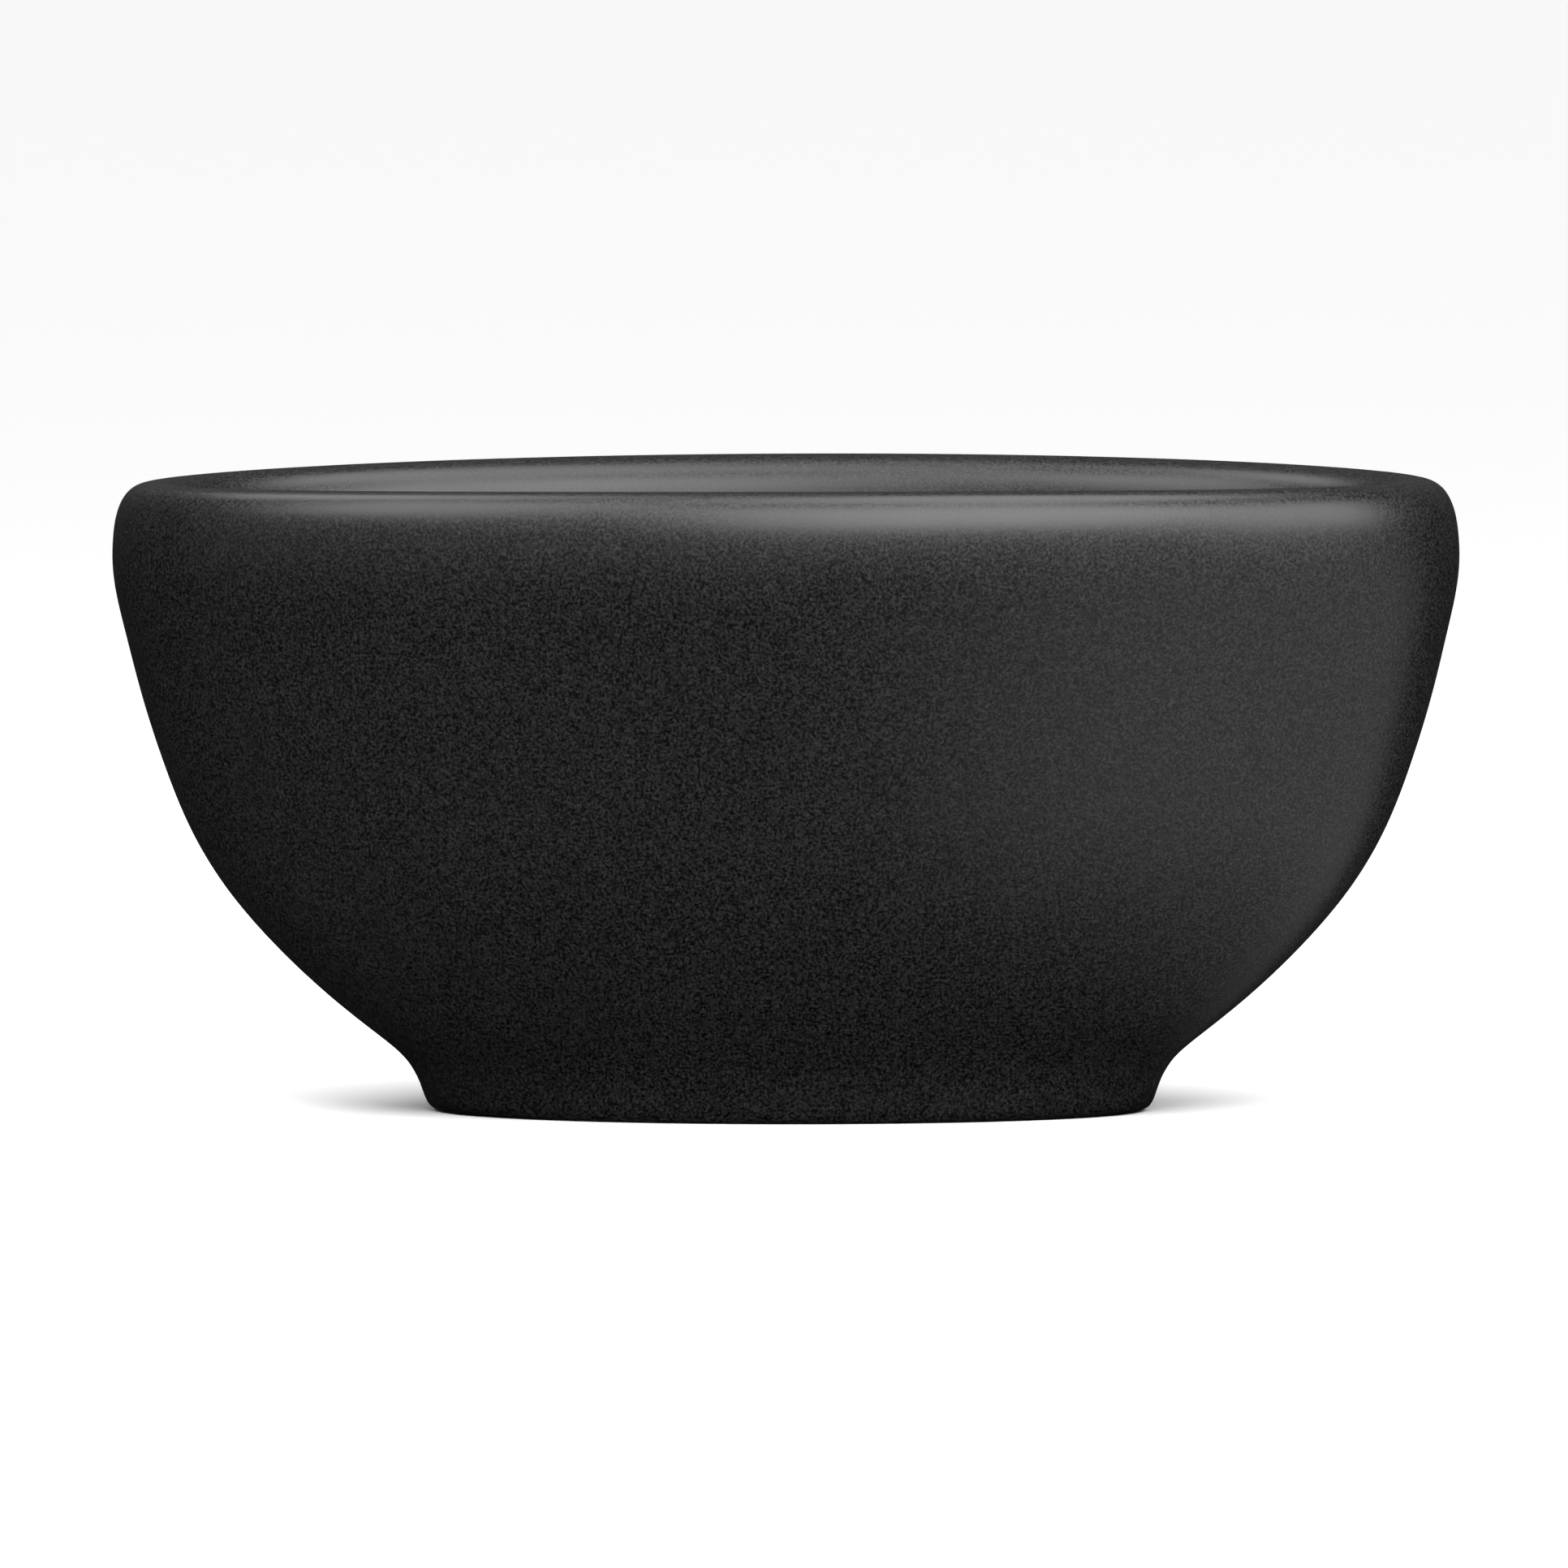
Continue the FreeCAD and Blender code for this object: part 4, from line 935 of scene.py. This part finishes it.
# ---------------------------------------------------------------- studio
@dataclass(frozen=True)
class Softbox:
    """One soft rectangular light that faces the bath, placed as seen from the camera's side."""

    name: str
    azimuth: float          # degrees to the camera's right
    elevation: float
    distance: float
    width: float
    height: float
    radiance: float

    def hang(self, turn: float) -> None:
        """Hangs the light, with the camera's own turn round the bath added."""
        around, lift = math.radians(self.azimuth) + turn, math.radians(self.elevation)
        way = Vector((math.sin(around) * math.cos(lift), -math.cos(around) * math.cos(lift), math.sin(lift)))
        light = bpy.data.lights.new(self.name, "AREA")
        light.shape, light.size, light.size_y = "RECTANGLE", self.width, self.height
        light.energy = self.radiance * math.pi * self.width * self.height
        light.diffuse_factor = 0.4
        lamp = bpy.data.objects.new(self.name, light)
        lamp.location = Vector((0, 0, 0.5)) + way * self.distance
        lamp.rotation_euler = way.to_track_quat("Z", "Y").to_euler()
        bpy.context.scene.collection.objects.link(lamp)


@dataclass
class Studio:
    """Pale floor, soft light, dim surroundings and the camera."""

    azimuth: float = 8.04
    elevation: float = 4.41
    roll: float = 0.56
    distance: float = 24.3
    lens: float = 504.2
    aim: tuple[float, float] = (-0.0023, 0.0081)     # right and up of the middle of the bath
    floor_reach: float = 40.0
    dark: float = 0.05                               # surroundings behind, ahead and overhead
    ahead_fill: float = 0.30
    overhead_fill: float = 0.12
    ceiling: float = 2.6
    ceiling_spread: float = 100.0
    softboxes: tuple[Softbox, ...] = (
        Softbox("front_softbox", 8.0, 39.0, 4.2, 3.4, 2.7, 6.4),
        Softbox("right_softbox", 60.0, 30.0, 3.6, 2.6, 2.0, 5.0),
        Softbox("left_softbox", -62.0, 48.0, 4.2, 2.2, 2.4, 4.8),
        Softbox("back_left_softbox", -125.0, 58.0, 3.6, 1.4, 1.6, 4.2),
        Softbox("top_softbox", 60.0, 80.0, 3.4, 2.6, 2.0, 4.6))

    def paper(self, name: str, finish: Stock, height: float, from_turn: float,
              to_turn: float) -> bpy.types.Object:
        """Cuts a round sheet, or a slice of one, of studio paper.

        Args:
            name: the sheet's name.
            finish: what it is made of.
            height: its level, in metres.
            from_turn: where the slice starts, in degrees to the right of the camera.
            to_turn: where it ends.

        Returns:
            The sheet.
        """
        turns = np.radians(np.linspace(from_turn, to_turn, 97) + self.azimuth)
        rim = [(self.floor_reach * math.sin(t), -self.floor_reach * math.cos(t), height) for t in turns]
        mesh = bpy.data.meshes.new(name)
        mesh.from_pydata([(0, 0, height)] + rim, [], [(0, k, k + 1) for k in range(1, 97)])
        mesh.materials.append(finish.material())
        sheet = new_object(name, mesh)
        return sheet

    def build_floor(self) -> None:
        """Lays the pale floor, and the dimmer paper with painted shade and painted light that the gloss of
        the black skins sees in it.
        """
        floor = self.paper("studio_floor", Stock.FLOOR, -0.0005, 0, 360)
        floor.visible_glossy = False
        for name, finish, start, end in (("gloss_paper_front", Stock.GLOSS_PAPER_FRONT, -92, 98),
                                         ("gloss_paper_back", Stock.GLOSS_PAPER_BACK, 98, 268)):
            sheet = self.paper(name, finish, -0.001, start, end)
            sheet.visible_camera = sheet.visible_diffuse = sheet.visible_shadow = False

    def build_lights(self) -> None:
        """Hangs the softboxes and sets the dim surroundings."""
        turn = math.radians(self.azimuth)
        for softbox in self.softboxes:
            softbox.hang(turn)
        sky = bpy.data.lights.new("ceiling_bounce", "SUN")
        sky.energy, sky.angle = self.ceiling, math.radians(self.ceiling_spread)
        lamp = bpy.data.objects.new("ceiling_bounce", sky)
        lamp.visible_glossy = False
        bpy.context.scene.collection.objects.link(lamp)
        world = bpy.data.worlds.new("studio")
        world.use_nodes = True
        bpy.context.scene.world = world
        tree = world.node_tree
        way = add_node(tree, "ShaderNodeTexCoord").outputs["Generated"]
        ahead = add_node(tree, "ShaderNodeVectorMath", {0: way, 1: (math.sin(turn), -math.cos(turn), 0.0)},
                         operation="DOT_PRODUCT").outputs["Value"]
        front = add_node(tree, "ShaderNodeMapRange", {"Value": ahead, "From Min": -0.12, "From Max": 0.12,
                                                      "To Min": self.dark, "To Max": self.ahead_fill})
        height = add_node(tree, "ShaderNodeSeparateXYZ", {0: way}).outputs["Z"]
        high = add_node(tree, "ShaderNodeMapRange", {"Value": height, "From Min": 0.1, "From Max": 0.7,
                                                     "To Min": 0.0, "To Max": self.overhead_fill})
        strength = add_node(tree, "ShaderNodeMath", {0: front, 1: high}, operation="ADD")
        shade = next(n for n in tree.nodes if n.type == "BACKGROUND")
        feed(tree, shade, {"Strength": strength, "Color": (1.0, 1.0, 1.0, 1.0)})

    def build_camera(self) -> None:
        """Sets the long-lens camera."""
        turn, lift, lean = (math.radians(v) for v in (self.azimuth, self.elevation, self.roll))
        back = Vector((math.sin(turn) * math.cos(lift), -math.cos(turn) * math.cos(lift), math.sin(lift)))
        right = Vector((math.cos(turn), math.sin(turn), 0.0))
        up = back.cross(right)
        across = math.cos(lean) * right - math.sin(lean) * up
        upright = math.sin(lean) * right + math.cos(lean) * up
        centre = (CAD_BOX[0] + CAD_BOX[1]) / 2 + across * self.aim[0] + upright * self.aim[1]
        data = bpy.data.cameras.new("studio_camera")
        data.lens, data.sensor_width, data.clip_end = self.lens, 36.0, 200.0
        camera = bpy.data.objects.new("studio_camera", data)
        place = Matrix((across, upright, back)).transposed().to_4x4()
        camera.matrix_world = Matrix.Translation(centre + back * self.distance) @ place
        bpy.context.scene.collection.objects.link(camera)
        bpy.context.scene.camera = camera

    def build(self) -> None:
        """Sets up the whole studio."""
        self.build_floor()
        self.build_lights()
        self.build_camera()
        bpy.context.scene.view_settings.view_transform = "Standard"


def report(pieces: list[bpy.types.Object]) -> None:
    """Logs each finished piece with its size."""
    for piece in pieces:
        log.info("%s: %d faces", piece.name, len(piece.data.polygons))


def main() -> None:
    """Builds every class in order."""
    logging.basicConfig(level=logging.INFO, format="%(name)s: %(message)s")
    Studio().build()
    log.info("carried nodes: %d", CarriedPieces().dress())
    for assembly in (BathShell(), LevellingFeet(), FrameWelds(), PlugSpring()):
        report(assembly.build())


if __name__ == "__main__":
    main()
